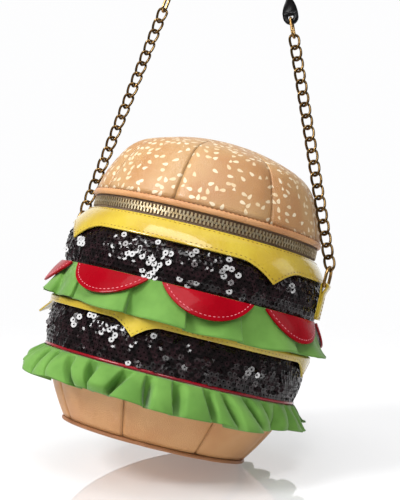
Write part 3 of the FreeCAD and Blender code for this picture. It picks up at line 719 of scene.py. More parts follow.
def face_out(bm: BMesh) -> None:
    """Turns an open sheet's faces away from the middle of the bag.

    Args:
        bm: The sheet.
    """
    middle = at(0.0, 0.0, 100.0)
    if any(edge.is_boundary for edge in bm.edges):
        out = sum(face.normal.dot(face.calc_center_median() - middle) * face.calc_area() for face in bm.faces)
        if out < 0.0:
            bmesh.ops.reverse_faces(bm, faces=bm.faces)


def make_piece(name: str, bm: BMesh, finish: Finish, body: Body | None,
               replaced: Iterable[str] = (), flat: bool = False, tidy: bool = True) -> Object:
    """Turns a bmesh into a piece of the bag.

    Args:
        name: The piece's name.
        bm: Its mesh, in the row frame; it is freed.
        finish: Its surface.
        body: The body that it rides on, or nothing.
        replaced: The nodes that it stands for.
        flat: Whether its faces keep their edges.
        tidy: Whether to merge doubles and turn the faces outwards.

    Returns:
        The new object.
    """
    if tidy:
        bmesh.ops.remove_doubles(bm, verts=bm.verts, dist=WELD)
        bmesh.ops.recalc_face_normals(bm, faces=bm.faces)
        face_out(bm)
    mesh = bpy.data.meshes.new(name)
    bm.to_mesh(mesh)
    bm.free()
    return dress_mesh(name, mesh, finish, body, replaced, flat)


def dress_mesh(name: str, mesh: Mesh, finish: Finish, body: Body | None,
               replaced: Iterable[str] = (), flat: bool = False) -> Object:
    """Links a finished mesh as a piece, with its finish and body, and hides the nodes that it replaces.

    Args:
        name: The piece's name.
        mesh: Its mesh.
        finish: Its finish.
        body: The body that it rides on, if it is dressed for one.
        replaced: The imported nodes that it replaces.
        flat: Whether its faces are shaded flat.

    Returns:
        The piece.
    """
    if flat:
        mesh.shade_flat()
    else:
        mesh.shade_smooth()
    mesh.materials.clear()
    mesh.materials.append(finish.material())
    piece = bpy.data.objects.new(name, mesh)
    bpy.context.scene.collection.objects.link(piece)
    if body is not None:
        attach(piece, body.value)
    nodes = list(replaced)
    if nodes:
        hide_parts(*nodes)
    log.info("%s: %d faces", name, len(mesh.polygons))
    return piece


def thicken(piece: Object, thick: float, roll: float = 0.0, into: float = -1.0) -> None:
    """Gives a sheet its thickness in millimetres, with edges rolled by a small radius.

    Args:
        piece: The sheet.
        thick: Its thickness.
        roll: The radius at its edges, or zero.
        into: -1 to grow inwards from the sheet, 1 outwards, 0 both ways.
    """
    solid = piece.modifiers.new("thickness", "SOLIDIFY")
    solid.thickness = thick * MM
    solid.offset = into
    solid.use_even_offset = True
    solid.use_quality_normals = True
    if roll > 0.0:
        edge = piece.modifiers.new("rolled_edge", "BEVEL")
        edge.width = roll * MM
        edge.segments = 2
        edge.limit_method = "ANGLE"
        edge.angle_limit = math.radians(50.0)


def tube_mesh(name: str, paths: Sequence[Sequence[Vector]], wire: float, sides: int = 2) -> Mesh:
    """Round wire along closed paths, as one mesh.

    Args:
        name: The mesh's name.
        paths: The middle line of each closed loop, in metres.
        wire: The wire's diameter in millimetres.
        sides: The curve's bevel resolution.

    Returns:
        The mesh.
    """
    curve = bpy.data.curves.new(name + "_line", "CURVE")
    curve.dimensions = "3D"
    curve.bevel_depth = wire / 2 * MM
    curve.bevel_resolution = sides
    curve.twist_mode = "MINIMUM"
    for path in paths:
        spline = curve.splines.new("POLY")
        spline.points.add(len(path) - 1)
        for point, place in zip(spline.points, path):
            point.co = (*place, 1.0)
        spline.use_cyclic_u = True
    holder = bpy.data.objects.new(name + "_line", curve)
    mesh = bpy.data.meshes.new_from_object(holder)
    mesh.name = name
    bpy.data.objects.remove(holder)
    bpy.data.curves.remove(curve)
    return mesh


def swept_strip(bm: BMesh, frames: Sequence[Matrix], width: float, thick: float) -> None:
    """Sweeps a flat strip with softened edges through a row of frames.

    Args:
        bm: The mesh that takes the strip.
        frames: One frame per section: X along the width, Y through the thickness.
        width: The strip's width in millimetres.
        thick: Its thickness in millimetres.
    """
    half, deep, soft = width / 2 * MM, thick / 2 * MM, thick / 5 * MM
    section = [
        (half - soft, deep), (0.0, deep), (soft - half, deep), (-half, deep - soft), (-half, soft - deep),
        (soft - half, -deep), (0.0, -deep), (half - soft, -deep), (half, soft - deep), (half, deep - soft),
    ]
    corners = [Vector((across, through, 0.0)) for across, through in section]
    verts = [bm.verts.new(frames[0] @ corner) for corner in corners]
    ring = [bm.edges.new(pair) for pair in zip(verts, verts[1:] + verts[:1])]
    bm.faces.new(verts)
    for frame in frames[1:]:
        made = bmesh.ops.extrude_edge_only(bm, edges=ring)["geom"]
        fresh = [item for item in made if isinstance(item, BMVert)]
        ring = [item for item in made if isinstance(item, BMEdge)
                and item.verts[0] in fresh and item.verts[1] in fresh]
        for vert in fresh:
            old = min(verts, key=lambda kept: (kept.co - vert.co).length_squared)
            vert.co = frame @ corners[verts.index(old)]
        verts = sorted(fresh, key=lambda vert: min(
            range(len(corners)), key=lambda number: (frame @ corners[number] - vert.co).length_squared))
    bm.faces.new(verts)


def sew(name: str, runs: Sequence[Sequence[tuple[Vector, Vector]]], finish: Finish, body: Body,
        stitch: float, pitch: float, thick: float) -> Object:
    """Sews rows of stitches, each a small rounded length of thread.

    Args:
        name: The piece's name.
        runs: Rows of points on the surface, each with the surface's outward direction.
        finish: The thread.
        body: The body that the row rides on.
        stitch: A stitch's length in millimetres.
        pitch: From one stitch to the next in millimetres.
        thick: The thread's thickness in millimetres.

    Returns:
        The piece with every stitch.
    """
    bm = bmesh.new()
    for run in runs:
        travelled, due = 0.0, pitch / 2 * MM
        for (start, lift), (end, _lift) in zip(run, run[1:]):
            step = (end - start).length
            while step > 0.0 and due <= travelled + step:
                middle = start.lerp(end, (due - travelled) / step)
                along = (end - start).normalized()
                side = lift.cross(along).normalized()
                turn = Matrix((along, side, along.cross(side))).transposed().to_4x4()
                size = Matrix.Diagonal((stitch / thick, 1.0, 0.8, 1.0))
                bmesh.ops.create_uvsphere(bm, u_segments=6, v_segments=4, radius=thick / 2 * MM,
                                          matrix=Matrix.Translation(middle) @ turn @ size)
                due += pitch * MM
            travelled += step
    return make_piece(name, bm, finish, body, tidy=False)


@dataclass
class BunPanels:
    """One bun: padded leather gores that puff between their seams."""

    name: str
    node: str
    body: Body
    slot: str
    finish: Finish
    line: Line
    seam: float = 2.0
    count: int = 8
    steps: int = 28
    dip: float = 1.5            # how far the leather is drawn in at a seam
    reach: float = 5.5          # how far from the seam the dip is felt
    thick: float = 1.5
    late: dict[int, float] = field(default_factory=dict)    # how far a seam was sewn past its place
    groove: Point = (0.5, 1.0)  # depth and reach of the fine groove along a seam
    crown: float = 50.0         # the radius inside which the seams fade towards the crown
    pucker: float = 0.22        # how far the leather wanders
    gap: float = 0.12           # half a seam's open width

    def build(self) -> None:
        """Builds every gore."""
        seams = [self.seam + 360.0 / self.count * number + self.late.get(number, 0.0)
                 for number in range(self.count + 1)]
        for number in range(self.count):
            self._gore(number + 1, seams[number], seams[number + 1] - seams[number])

    def _gore(self, number: int, start: float, sweep: float) -> None:
        """Builds one gore from one seam to the next.

        Args:
            number: The gore's number.
            start: The azimuth of its first seam.
            sweep: The turn to the next seam.
        """
        bm = bmesh.new()
        spun(bm, self.line, start, sweep, self.steps)
        middle = start + sweep / 2
        lay_uv(bm, self.line, (PRINT_STEP[0] * number, PRINT_STEP[1] * number), middle)

        def puffed(radius: float, azimuth: float, height: float) -> Place:
            """Draws a point in near a seam, and leaves the seam's open width.

            Args:
                radius: The point's radius.
                azimuth: Where round the bag.
                height: Its height.

            Returns:
                The new radius, azimuth and height.
            """
            off = turn_between(middle, azimuth)
            away = math.radians(sweep / 2 - abs(off)) * radius
            dips = ((self.dip, self.reach), self.groove)
            drawn = sum(depth * math.exp(-(away / reach) ** 2) for depth, reach in dips)
            share = min(1.0, (radius / self.crown) ** 1.5)
            wander = self.pucker * noise.noise(Vector((azimuth * 0.09, height * 0.07, number * 7.3)))
            narrow = 1.0 - self.gap / max(math.radians(sweep / 2) * radius, 0.5)
            return max(radius - (drawn - wander) * share, 0.0), middle + off * max(narrow, 0.6), height

        reshape(bm, puffed)
        piece = make_piece(f"{self.name}_{number}", bm, self.finish, self.body,
                           [f"{self.node}_{number}"])
        thicken(piece, self.thick)


# side, knuckle and crown: the lean at which an arc ends, its middle and its radius
DOME_ARCS = (
    (33.87, (0.0, 141.63), 79.0),
    (67.57, (42.35, 170.05), 28.0),
    (90.0, (0.0, 67.45), 139.0),
)


def dome_line(inset: float, first: float, rows: int) -> Line:
    """The lid's side line, from its rim to its crown, along its arcs.

    Args:
        inset: How far inside the outer face.
        first: The angle of the surface above level at the line's start.
        rows: The number of steps.

    Returns:
        Pairs of radius and height.
    """
    points = []
    for row in range(rows + 1):
        lean = first + (90.0 - first) * row / rows
        _end, middle, large = next(part for part in DOME_ARCS if lean < part[0] or part is DOME_ARCS[-1])
        turn = math.radians(lean)
        points.append((middle[0] + (large - inset) * math.cos(turn),
                       middle[1] + (large - inset) * math.sin(turn)))
    return points


def swelling(low: Point, high: Point, swell: float, rows: int) -> Line:
    """A line between two points of radius and height that swells outwards in its middle.

    Args:
        low: The first point.
        high: The last point.
        swell: How far the middle stands out.
        rows: The number of rows.

    Returns:
        The points, with both ends.
    """
    points = []
    for row in range(rows + 1):
        radius, height = between(low, high, row / rows)
        points.append((radius + swell * (1.0 - (2.0 * row / rows - 1.0) ** 2), height))
    return points


def plain_band(rows: int) -> Line:
    """A band one millimetre high, whose drop in height becomes the share of the way down a slice."""
    return [(PLAIN, PLAIN - row / rows) for row in range(rows + 1)]


@dataclass
class Patty:
    """A padded band of dark net, sewn over with rows of cupped sequins."""

    name: str
    bottom: float
    height: float
    edge: float
    mid: float
    seed: int
    rubbed: Line                # azimuth and height of the spots that were brushed over most
    rub: float = 8.0            # how far such a spot reaches
    rubbing: float = 0.6        # how much a spot's middle counts
    patches: float = 0.4        # how much brushing elsewhere counts
    chance: Point = (0.04, 0.55)        # that a disc was brushed over, anywhere and more in a spot's middle
    inner: float = 82.5
    inset: float = 1.6          # how far the net lies inside the sequins' outline
    margin: float = 1.3         # from the band's edges to the first and the last row
    disc: float = 4.2           # sequin diameter
    hole: float = 1.3
    cup: float = 0.11
    row: float = 2.8            # from one row to the next
    pitch: float = 3.5          # along a row
    shingle: float = 7.0        # lean of each disc over the row below
    settle: float = 5.5         # how far a disc lies off its row, in degrees
    flip: float = 15.0          # how far a disc that was brushed over lies off it
    raised: float = 12.0        # how far such a disc leans up, in degrees
    sunk: float = 0.7           # how far the discs lie into the padding's outline
    loose: float = 0.35         # how far a disc may stand off its place
    lit: float = 0.5            # share of the brushed discs that end up facing a lamp
    faces: float = 0.6          # how nearly the band must face a lamp's glint there, as a cosine
    scatter: float = 0.03       # how far a lit disc may miss its lamp
    stand: float = 0.3          # how far a lit disc stands off, and the share of its width when it is turned
    sides: int = 8
    steps: int = 128
    rows: int = 12

    def radius(self, height: float) -> float:
        """The padding's radius at a height."""
        share = 2.0 * (height - self.bottom) / self.height - 1.0
        return self.inner + self.edge + (self.mid - self.edge) * (1.0 - share * share)

    def build(self) -> None:
        """Builds the padding and its sequins."""
        self._padding()
        self._sequins()

    def _padding(self) -> None:
        """Builds the padded band."""
        heights = [self.bottom + self.height * row / self.rows for row in range(self.rows + 1)]
        outer = [(self.radius(height) - self.inset, height) for height in heights]
        bm = bmesh.new()
        spun_solid(bm, outer + [(self.inner, heights[-1]), (self.inner, self.bottom)], self.steps)
        lay_uv(bm, outer)
        piece = make_piece(f"{self.name}_padding", bm, PATTY_NET, Body.BAG, [self.name])

    def _disc(self, bm: BMesh, height: float, azimuth: float) -> list:
        """Makes one cupped disc with a sewing hole on the band.

        Args:
            bm: The mesh that takes the disc.
            height: Where the disc's middle lies.
            azimuth: Where round the bag.

        Returns:
            The disc's verts, edges and faces.
        """
        slope = self.radius(height + 0.5) - self.radius(height - 0.5)
        lean = self.shingle - math.degrees(math.atan(slope))
        place = Matrix.Translation(at(self.radius(height) - self.sunk, azimuth, height))
        place @= Matrix.Rotation(math.radians(azimuth), 4, "Z")
        place @= Matrix.Rotation(math.radians(90.0 - lean), 4, "X")
        made = bmesh.ops.create_circle(bm, segments=self.sides, radius=self.disc / 2 * MM, cap_ends=True,
                                       matrix=place)
        face = made["verts"][0].link_faces[0]
        face.normal_update()
        normal = face.normal if face.normal.dot(outward(azimuth)) > 0.0 else face.normal * -1.0
        hollow = normal * (-self.cup * MM)
        bmesh.ops.inset_region(bm, faces=[face], thickness=(self.disc - self.hole) / 2 * MM,
                               use_boundary=True)
        bmesh.ops.translate(bm, verts=list(face.verts), vec=hollow)
        bmesh.ops.delete(bm, geom=[face], context="FACES_ONLY")
        return bm.verts[:] + bm.edges[:] + bm.faces[:]

    def _sequins(self) -> None:
        """Lays the rows of sequins, most of them flat and some in groups turned to the light."""
        draw = random.Random(self.seed)
        studio = Studio()
        glints = [studio.glint(KEY_LAMP), studio.glint(FRONT_LAMP)]
        rows = int((self.height - self.inset) / self.row)
        whole = bmesh.new()
        shade = whole.verts.layers.float.new("disc_shade")
        size = 2 * self.sides
        for row in range(rows + 1):
            height = self.bottom + self.margin + (self.height - 2 * self.margin) * row / rows
            count = int(math.tau * self.radius(height) / self.pitch)
            step = 360.0 / count
            bm = bmesh.new()
            geom = self._disc(bm, height, step * 0.5 * (row % 2))
            bmesh.ops.spin(bm, geom=geom, cent=AXIS_POINT, axis=UP, angle=math.radians(step * (count - 1)),
                           steps=count - 1, use_duplicate=True)
            mesh = bpy.data.meshes.new("sequin_row")
            bm.to_mesh(mesh)
            bm.free()
            whole.from_mesh(mesh)
            bpy.data.meshes.remove(mesh)
        whole.verts.ensure_lookup_table()
        for first in range(0, len(whole.verts), size):
            disc = [whole.verts[first + number] for number in range(size)]
            self._tilt(disc, draw, shade, glints)
        make_piece(f"{self.name}_sequins", whole, SEQUINS, Body.BAG, flat=True, tidy=False)

    def _brushed(self, middle: Vector) -> float:
        """The chance that a disc has been brushed over, from where its middle lies.

        Args:
            middle: The disc's middle.

        Returns:
            The chance, from 0 to 1.
        """
        radius, azimuth, height = where(middle)
        brushed = self.patches * noise.noise(middle * 80.0 + Vector((self.seed, 0.0, 0.0)))
        for spot_azimuth, spot_height in self.rubbed:
            across = math.radians(turn_between(spot_azimuth, azimuth)) * radius
            brushed += max(0.0, 1.0 - math.hypot(across, height - spot_height) / self.rub) * self.rubbing
        return self.chance[0] + self.chance[1] * min(1.0, max(0.0, brushed - 0.08) * 3.0)

    def _tilt(self, disc: list[BMVert], draw: random.Random, shade: object, glints: list[Vector]) -> None:
        """Tilts one disc by chance, more in the groups that have been brushed over.

        Args:
            disc: The disc's vertices.
            draw: The seeded draws.
            shade: The layer that keeps its shade.
            glints: The directions in which a disc shows the camera a lamp.
        """
        middle = sum((vert.co for vert in disc), Vector()) / len(disc)
        facing = outward(where(middle)[1])
        flipped = draw.random() < self._brushed(middle)
        spread, raised = (self.flip, self.raised) if flipped else (self.settle, 0.0)
        turn = Matrix.Rotation(math.radians(draw.gauss(0.0, spread)), 3, UP)
        turn = Matrix.Rotation(math.radians(draw.gauss(raised, spread)), 3, facing.cross(UP)) @ turn
        lift = draw.random() * self.loose
        glint = max(glints, key=facing.dot)
        if flipped and draw.random() < self.lit and facing.dot(glint) > self.faces:
            aim = glint + Vector([draw.gauss(0.0, self.scatter) for _axis in "XYZ"])
            aim.normalize()
            turn = Matrix.OrthoProjection(aim, 3) @ facing.rotation_difference(aim).to_matrix()
            turned = math.sqrt(max(0.0, 1.0 - facing.dot(aim) ** 2))
            lift += self.stand + self.stand * self.disc * turned
        tone = draw.random() ** 1.5
        for vert in disc:
            vert.co = turn @ (vert.co - middle) + middle + facing * lift * MM
            vert[shade] = tone


@dataclass
class Ruffle:
    """A gathered strip of cloth, sewn at its top and free at its hem."""

    name: str
    node: str
    top_radius: float
    top: float
    hem_radius: float           # outside of a full fold at the hem
    hem: float
    valley: float               # radius between two folds at the hem
    flare: float                # above 1, a fold stands out high up
    valleys: Line               # azimuths of the folds in front, at the top and at the hem
    spacing: float              # degrees between folds elsewhere
    sag: float                  # how far the hem wanders up and down
    seed: int
    rests_on: str
    flat: Point                 # the strip's length and width before it is gathered, in metres
    rise: float = 0.35          # share of a fold's width in which it rises from its valley
    fall: float = 0.74          # where it falls again at the sewn edge
    hem_fall: float = 0.93      # where it falls again at the hem
    crease: float = 0.07        # half the share of a fold's width in which it falls
    rounding: float = 0.2       # how much of a fold's height is a rounded top
    overlap: float = 2.5        # how far a fold's crest hangs over the next valley at the hem, in degrees
    left: Point = (0.0, 0.0)    # how far the hem stands out, and up, at the picture's left
    right: Point = (0.0, 0.0)
    right_side: float = 110.0   # azimuth of the picture's right
    crumple: float = 0.6        # how far the cloth wanders at its hem
    front: Point = (0.85, 1.0)  # least and greatest share of the depth, for a fold in front
    other: Point = (0.7, 1.0)   # and for one elsewhere
    stray: float = 0.22         # how far a fold elsewhere strays, as a share of the spacing
    slant: float = 0.45         # how far it slants, as a share of the spacing
    thick: float = 0.55
    rows: int = 16
    steps: int = 900
    folds: list[tuple[float, float, float]] = field(default_factory=list)

    def build(self) -> None:
        """Builds the ruffle."""
        self.folds = self._all_folds()
        bm = bmesh.new()
        line = swelling((self.top_radius, self.top), (self.hem_radius, self.hem), 0.0, self.rows)
        spun(bm, line, self.folds[0][0], 360.0, self.steps)
        lay_uv(bm, line)
        reshape(bm, self._gathered)
        piece = make_piece(self.name, bm, GREEN_CLOTH, Body.BAG, [self.node])
        thicken(piece, self.thick, into=0.0)

    def _all_folds(self) -> list[tuple[float, float, float]]:
        """The folds once round: their azimuths at the top and the hem, and their share of the depth.

        Returns:
            The folds in order round the bag.
        """
        draw = random.Random(self.seed)
        folds = [(top, hem, draw.uniform(*self.front)) for top, hem in self.valleys]
        end = folds[0][0] + 360.0
        place = folds[-1][0]
        left = max(1, round((end - place) / self.spacing))
        step = (end - place) / left
        for number in range(1, left):
            top = place + step * number + draw.uniform(-self.stray, self.stray) * step
            hem = top + draw.uniform(-self.slant, self.slant) * step
            folds.append((top, hem, draw.uniform(*self.other)))
        first = folds[0]
        folds.append((first[0] + 360.0, first[1] + 360.0, first[2]))
        return folds

    def _pleat(self, along: float, share: float) -> float:
        """A pleat's height across its width: a soft rise, a rounded top and a sharp fall to the next valley.

        Args:
            along: The share of the pleat's width, from one valley to the next.
            share: The share of the way from the sewn edge to the hem.

        Returns:
            The height, from 0 in the valley to about 1.
        """
        def eased(low: float, high: float) -> float:
            """Rises from 0 to 1 between two places."""
            part = min(1.0, max(0.0, (along - low) / (high - low)))
            return part * part * (3.0 - 2.0 * part)

        fall = self.fall + (self.hem_fall - self.fall) * share
        rounded = 1.0 - self.rounding + self.rounding * math.sin(math.pi * min(1.0, along / fall))
        return eased(0.0, self.rise) * (1.0 - eased(fall - self.crease, fall + self.crease)) * rounded

    def _gathered(self, _radius: float, azimuth: float, height: float) -> Place:
        """Moves a point of the plain skirt to its fold.

        Args:
            _radius: The point's radius, which the fold replaces.
            azimuth: Where round the bag.
            height: Its height.

        Returns:
            The new radius, azimuth and height.
        """
        share = min(1.0, max(0.0, (self.top - height) / (self.top - self.hem)))
        lines = [top + (hem - top) * share for top, hem, _size in self.folds]
        turn = (azimuth - lines[0]) % 360.0 + lines[0]
        number = min(max(bisect.bisect_right(lines, turn) - 1, 0), len(lines) - 2)
        width = max(lines[number + 1] - lines[number], 0.5)
        along = (turn - lines[number]) / width
        size = self.folds[number][2] * min(1.15, width / self.spacing)
        ridge = self._pleat(along, share)
        spread = 1.0 - (1.0 - share) ** self.flare
        low = self.top_radius + (self.valley - self.top_radius) * share
        high = self.top_radius + (self.hem_radius - self.top_radius) * spread
        out = low + (high - low) * ridge * min(size, 1.05)
        crumple = self.crumple * share * noise.noise(Vector((turn * 0.16, share * 2.5, self.seed)))
        drop = share * self.sag * (drift(turn, 3.1, self.seed * 1.7) - 0.35 * (1.0 - ridge))
        sway = self.overlap * share * ridge * along * min(size, 1.0)
        side = math.cos(math.radians(turn - self.right_side))
        aside = self.right if side > 0.0 else self.left
        stands = share ** 2.5 * abs(side) ** 3
        return out + crumple + stands * aside[0], turn + sway, height + drop + stands * aside[1]


@dataclass
class CheeseSlice:
    """A skirt of patent leather with a straight hem and hanging corners."""

    name: str
    node: str
    inner: Line                 # the skirt's inner side line, from its sewn top to its corners' tips
    edge: float                 # share of the line at the straight hem
    tips: tuple[float, ...]
    half: float                 # half a corner's width in millimetres
    lifts: tuple[float, ...]    # how far each tip stands out
    thick: float = 1.25
    steps: int = 540
    rows: int = 18
    stitch_rows: tuple[float, ...] = ()     # millimetres in from the hem, or from the top if negative
    hollow: float = 1.75        # how far a corner's sides curve in
    puff: float = 0.35          # how far the leather swells between its edges
    ripple: float = 0.25        # how far it wanders at the hem

    def _length(self) -> float:
        """The side line's length in millimetres."""
        return sum(math.dist(first, second) for first, second in zip(self.inner, self.inner[1:]))

    def _point(self, share: float) -> Point:
        """Radius and height at a share of the side line.

        Args:
            share: The share, from the seam.

        Returns:
            Radius and height.
        """
        due = max(share, 0.0) * self._length()
        for first, second in zip(self.inner, self.inner[1:]):
            step = math.dist(first, second)
            if due <= step or second is self.inner[-1]:
                break
            due -= step
        return between(first, second, due / step)

    def _corner(self, azimuth: float) -> Point:
        """How far a point is down a hanging corner, from 0 to 1, and how far it stands out there.

        Args:
            azimuth: Where round the bag.

        Returns:
            How far down and how far out, both 0 between the corners.
        """
        for tip, lift in zip(self.tips, self.lifts):
            across = abs(math.radians(turn_between(tip, azimuth))) * self.inner[-1][0]
            if across < self.half:
                near = 1.0 - across / self.half
                return near ** self.hollow, lift * near ** 1.5
        return 0.0, 0.0

    def place(self, azimuth: float, down: float, short: float = 0.0) -> Place:
        """A point of the slice's outer face.

        Args:
            azimuth: Where round the bag.
            down: The share of the way from the sewn top to the hem.
            short: Millimetres short of that place.

        Returns:
            Radius, azimuth and height.
        """
        down = max(down, 0.0)
        corner, stand = self._corner(azimuth)
        reach = self.edge + (1.0 - self.edge) * corner
        share = reach * down - short / self._length()
        radius, height = self._point(share)
        radius += self.thick + self.puff * math.sin(math.pi * min(down, 1.0))
        radius += self.ripple * down * noise.noise(Vector((azimuth * 0.06, down * 1.5, 4.0)))
        return radius + stand * (max(share, 0.0) / reach) ** 2.5, azimuth, height

    def build(self) -> None:
        """Builds the slice and its stitches."""
        bm = bmesh.new()
        spun(bm, plain_band(self.rows), self.tips[0], 360.0, self.steps)
        reshape(bm, lambda _radius, azimuth, height: self.place(azimuth, PLAIN - height))
        piece = make_piece(self.name, bm, YELLOW_PATENT, Body.BAG, [self.node])
        thicken(piece, self.thick, roll=0.3)
        runs = []
        for inset in self.stitch_rows:
            run = []
            for step in range(self.steps + 1):
                azimuth = 360.0 * step / self.steps
                spot = self.place(azimuth, 1.0, inset) if inset > 0.0 else self.place(azimuth, 0.0, inset)
                run.append((at(*spot), outward(azimuth)))
            runs.append(run)
        if runs:
            sew(f"{self.name}_stitches", runs, YELLOW_THREAD, Body.BAG,
                stitch=2.0, pitch=3.2, thick=0.7)


@dataclass
class TomatoSlices:
    """Round patent slices that lie on the upper ruffle, cut off by the patty's seam."""

    top: Point = (87.4, 102.75)
    slope: Point = (11.9, -21.6)
    disc: float = 34.0
    drop: float = 17.8          # along the slope, from the seam to the slice's lowest point
    first: float = 28.0
    count: int = 8
    thick: float = 1.3
    margin: float = 2.5         # from the edge to the stitches
    puff: float = 0.9           # how far a slice swells in its middle
    patch: float = 50.0         # half the turn of the plain band that a slice is shaped from
    columns: int = 48
    rows: int = 12
    stitch_steps: int = 40

    def half_chord(self, inset: float = 0.0) -> float:
        """Half the slice's width at the seam, or that of a smaller disc inside it."""
        return math.sqrt((self.disc - inset) ** 2 - (self.disc - self.drop) ** 2)

    def depth(self, across: float, inset: float = 0.0) -> float:
        """How far the slice, or a smaller disc inside it, reaches down from the seam."""
        return math.sqrt(max((self.disc - inset) ** 2 - across ** 2, 0.0)) - (self.disc - self.drop)

    def place(self, middle: float, across: float, along: float) -> Place:
        """A point of a slice's outer face.

        Args:
            middle: The slice's azimuth.
            across: Millimetres to the side of its middle.
            along: Millimetres down the slope from the seam.

        Returns:
            Radius, azimuth and height.
        """
        length = math.hypot(*self.slope)
        radius = self.top[0] + self.slope[0] * along / length
        height = self.top[1] + self.slope[1] * along / length
        full = max(0.0, 1.0 - (across / self.half_chord()) ** 2)
        puff = self.puff * full * math.sin(math.pi * min(1.0, along / self.drop * 0.9 + 0.1))
        return radius + self.thick + puff, middle + math.degrees(across / radius), height

    def build(self) -> None:
        """Builds every slice with its stitches."""
        runs = []
        for number in range(self.count):
            middle = self.first + 360.0 / self.count * number
            self._slice(number + 1, middle)
            run = []
            reach = self.half_chord(self.margin)
            for step in range(self.stitch_steps + 1):
                across = reach * (2.0 * step / self.stitch_steps - 1.0)
                spot = self.place(middle, across, max(self.depth(across, self.margin), 0.0))
                run.append((at(*spot), outward(spot[1]) + UP * 0.5))
            runs.append(run)
        sew("tomato_stitches", runs, RED_THREAD, Body.BAG, stitch=1.9, pitch=2.9, thick=0.5)

    def _slice(self, number: int, middle: float) -> None:
        """Builds one slice.

        Args:
            number: The slice's number.
            middle: Its azimuth.
        """
        bm = bmesh.new()
        spun(bm, plain_band(self.rows), middle - self.patch, 2 * self.patch, self.columns)
        reach = self.half_chord() * 0.999

        def sliced(_radius: float, azimuth: float, height: float) -> Place:
            """Moves a point of the plain band to the slice."""
            across = reach * math.sin(turn_between(middle, azimuth) / self.patch * math.pi / 2)
            return self.place(middle, across, max(self.depth(across) * (PLAIN - height), 0.0))

        reshape(bm, sliced)
        piece = make_piece(f"tomato_{number}", bm, RED_PATENT, Body.BAG,
                           [f"tomato_slice_{number}"])
        thicken(piece, self.thick, roll=0.3)


@dataclass
class Piping:
    """A covered cord sewn into a seam round the bag."""

    name: str
    node: str
    slot: str
    finish: Finish
    radius: float
    height: float
    cord: float
    ripple: float = 0.12

    def build(self) -> None:
        """Builds the cord with a slight unevenness."""
        bm = bmesh.new()
        stand = Matrix.Translation(at(self.radius, 0.0, self.height)) @ Matrix.Rotation(math.pi / 2, 4, "Y")
        made = bmesh.ops.create_circle(bm, segments=12, radius=self.cord / 2 * MM, matrix=stand)
        bmesh.ops.spin(bm, geom=made["verts"] + bm.edges[:], cent=AXIS_POINT, axis=UP, angle=math.tau,
                       steps=200, use_merge=True)

        def uneven(radius: float, azimuth: float, height: float) -> Place:
            """Lets the cord wander a little."""
            wander = self.ripple * drift(azimuth, 9.0, self.height)
            return radius + wander, azimuth, height + wander

        reshape(bm, uneven)
        make_piece(self.name, bm, self.finish, Body.BAG, [self.node])


@dataclass
class Base:
    """The flat leather base inside its piping."""

    radius: float = 60.3
    thick: float = 1.8

    def build(self) -> None:
        """Builds the padded panel with a rolled edge."""
        line = [(0.0, self.thick), (self.radius - 0.6, self.thick), (self.radius, self.thick - 0.5),
                (self.radius, 0.6), (self.radius - 0.4, 0.25), (self.radius - 1.2, 0.0),
                (self.radius - 6.0, 0.12), (0.0, 0.25)]
        bm = bmesh.new()
        spun(bm, line, 0.0, 360.0, 128)
        make_piece("base_cover", bm, BUN_LEATHER, Body.BAG, ["base_panel"])


@dataclass
class Linings:
    """The cloth linings of the body and the lid, which lie slack against the boards."""

    thick: float = 0.5
    slack: float = 0.7
    fine: float = 6.0           # from one row of the mesh to the next
    lid_inset: float = 6.8      # how far the lid's lining lies inside its outer face
    lid_edge: float = 151.2

    def build(self) -> None:
        """Builds both linings."""
        body = [(0.0, 2.5), (57.2, 2.5), (58.4, 3.7), (79.0, 45.85), (79.3, 48.5), (79.3, 127.0),
                (73.0, 134.0), (72.7, 141.8)]
        self._lining("body_inside", body, Body.BAG, "body_lining")
        dome = dome_line(self.lid_inset, 8.0, 24)
        self._lining("lid_inside", [(dome[0][0], self.lid_edge)] + dome, Body.LID, "lid_lining")

    def _lining(self, name: str, line: Line, body: Body, node: str) -> None:
        """Builds one lining.

        Args:
            name: The piece's name.
            line: Its side line, with one end on the axis.
            body: The body that it rides on.
            node: The node that it stands for.
        """
        fine: Line = []
        for first, second in zip(line, line[1:]):
            parts = max(1, int(math.dist(first, second) / self.fine))
            fine += [between(first, second, part / parts) for part in range(parts)]
        fine.append(line[-1])
        bm = bmesh.new()
        spun(bm, fine, 0.0, 360.0, 160)
        lay_uv(bm, fine)

        def slackened(radius: float, azimuth: float, height: float) -> Place:
            """Lets the cloth stand off its board in soft folds."""
            fold = max(0.0, drift(azimuth, 7.0, height * 0.02) + 0.3)
            return max(radius - self.slack * fold * min(1.0, radius / 30.0), 0.0), azimuth, height

        reshape(bm, slackened)
        piece = make_piece(name, bm, LINING_CLOTH, body, [node])
        thicken(piece, self.thick)


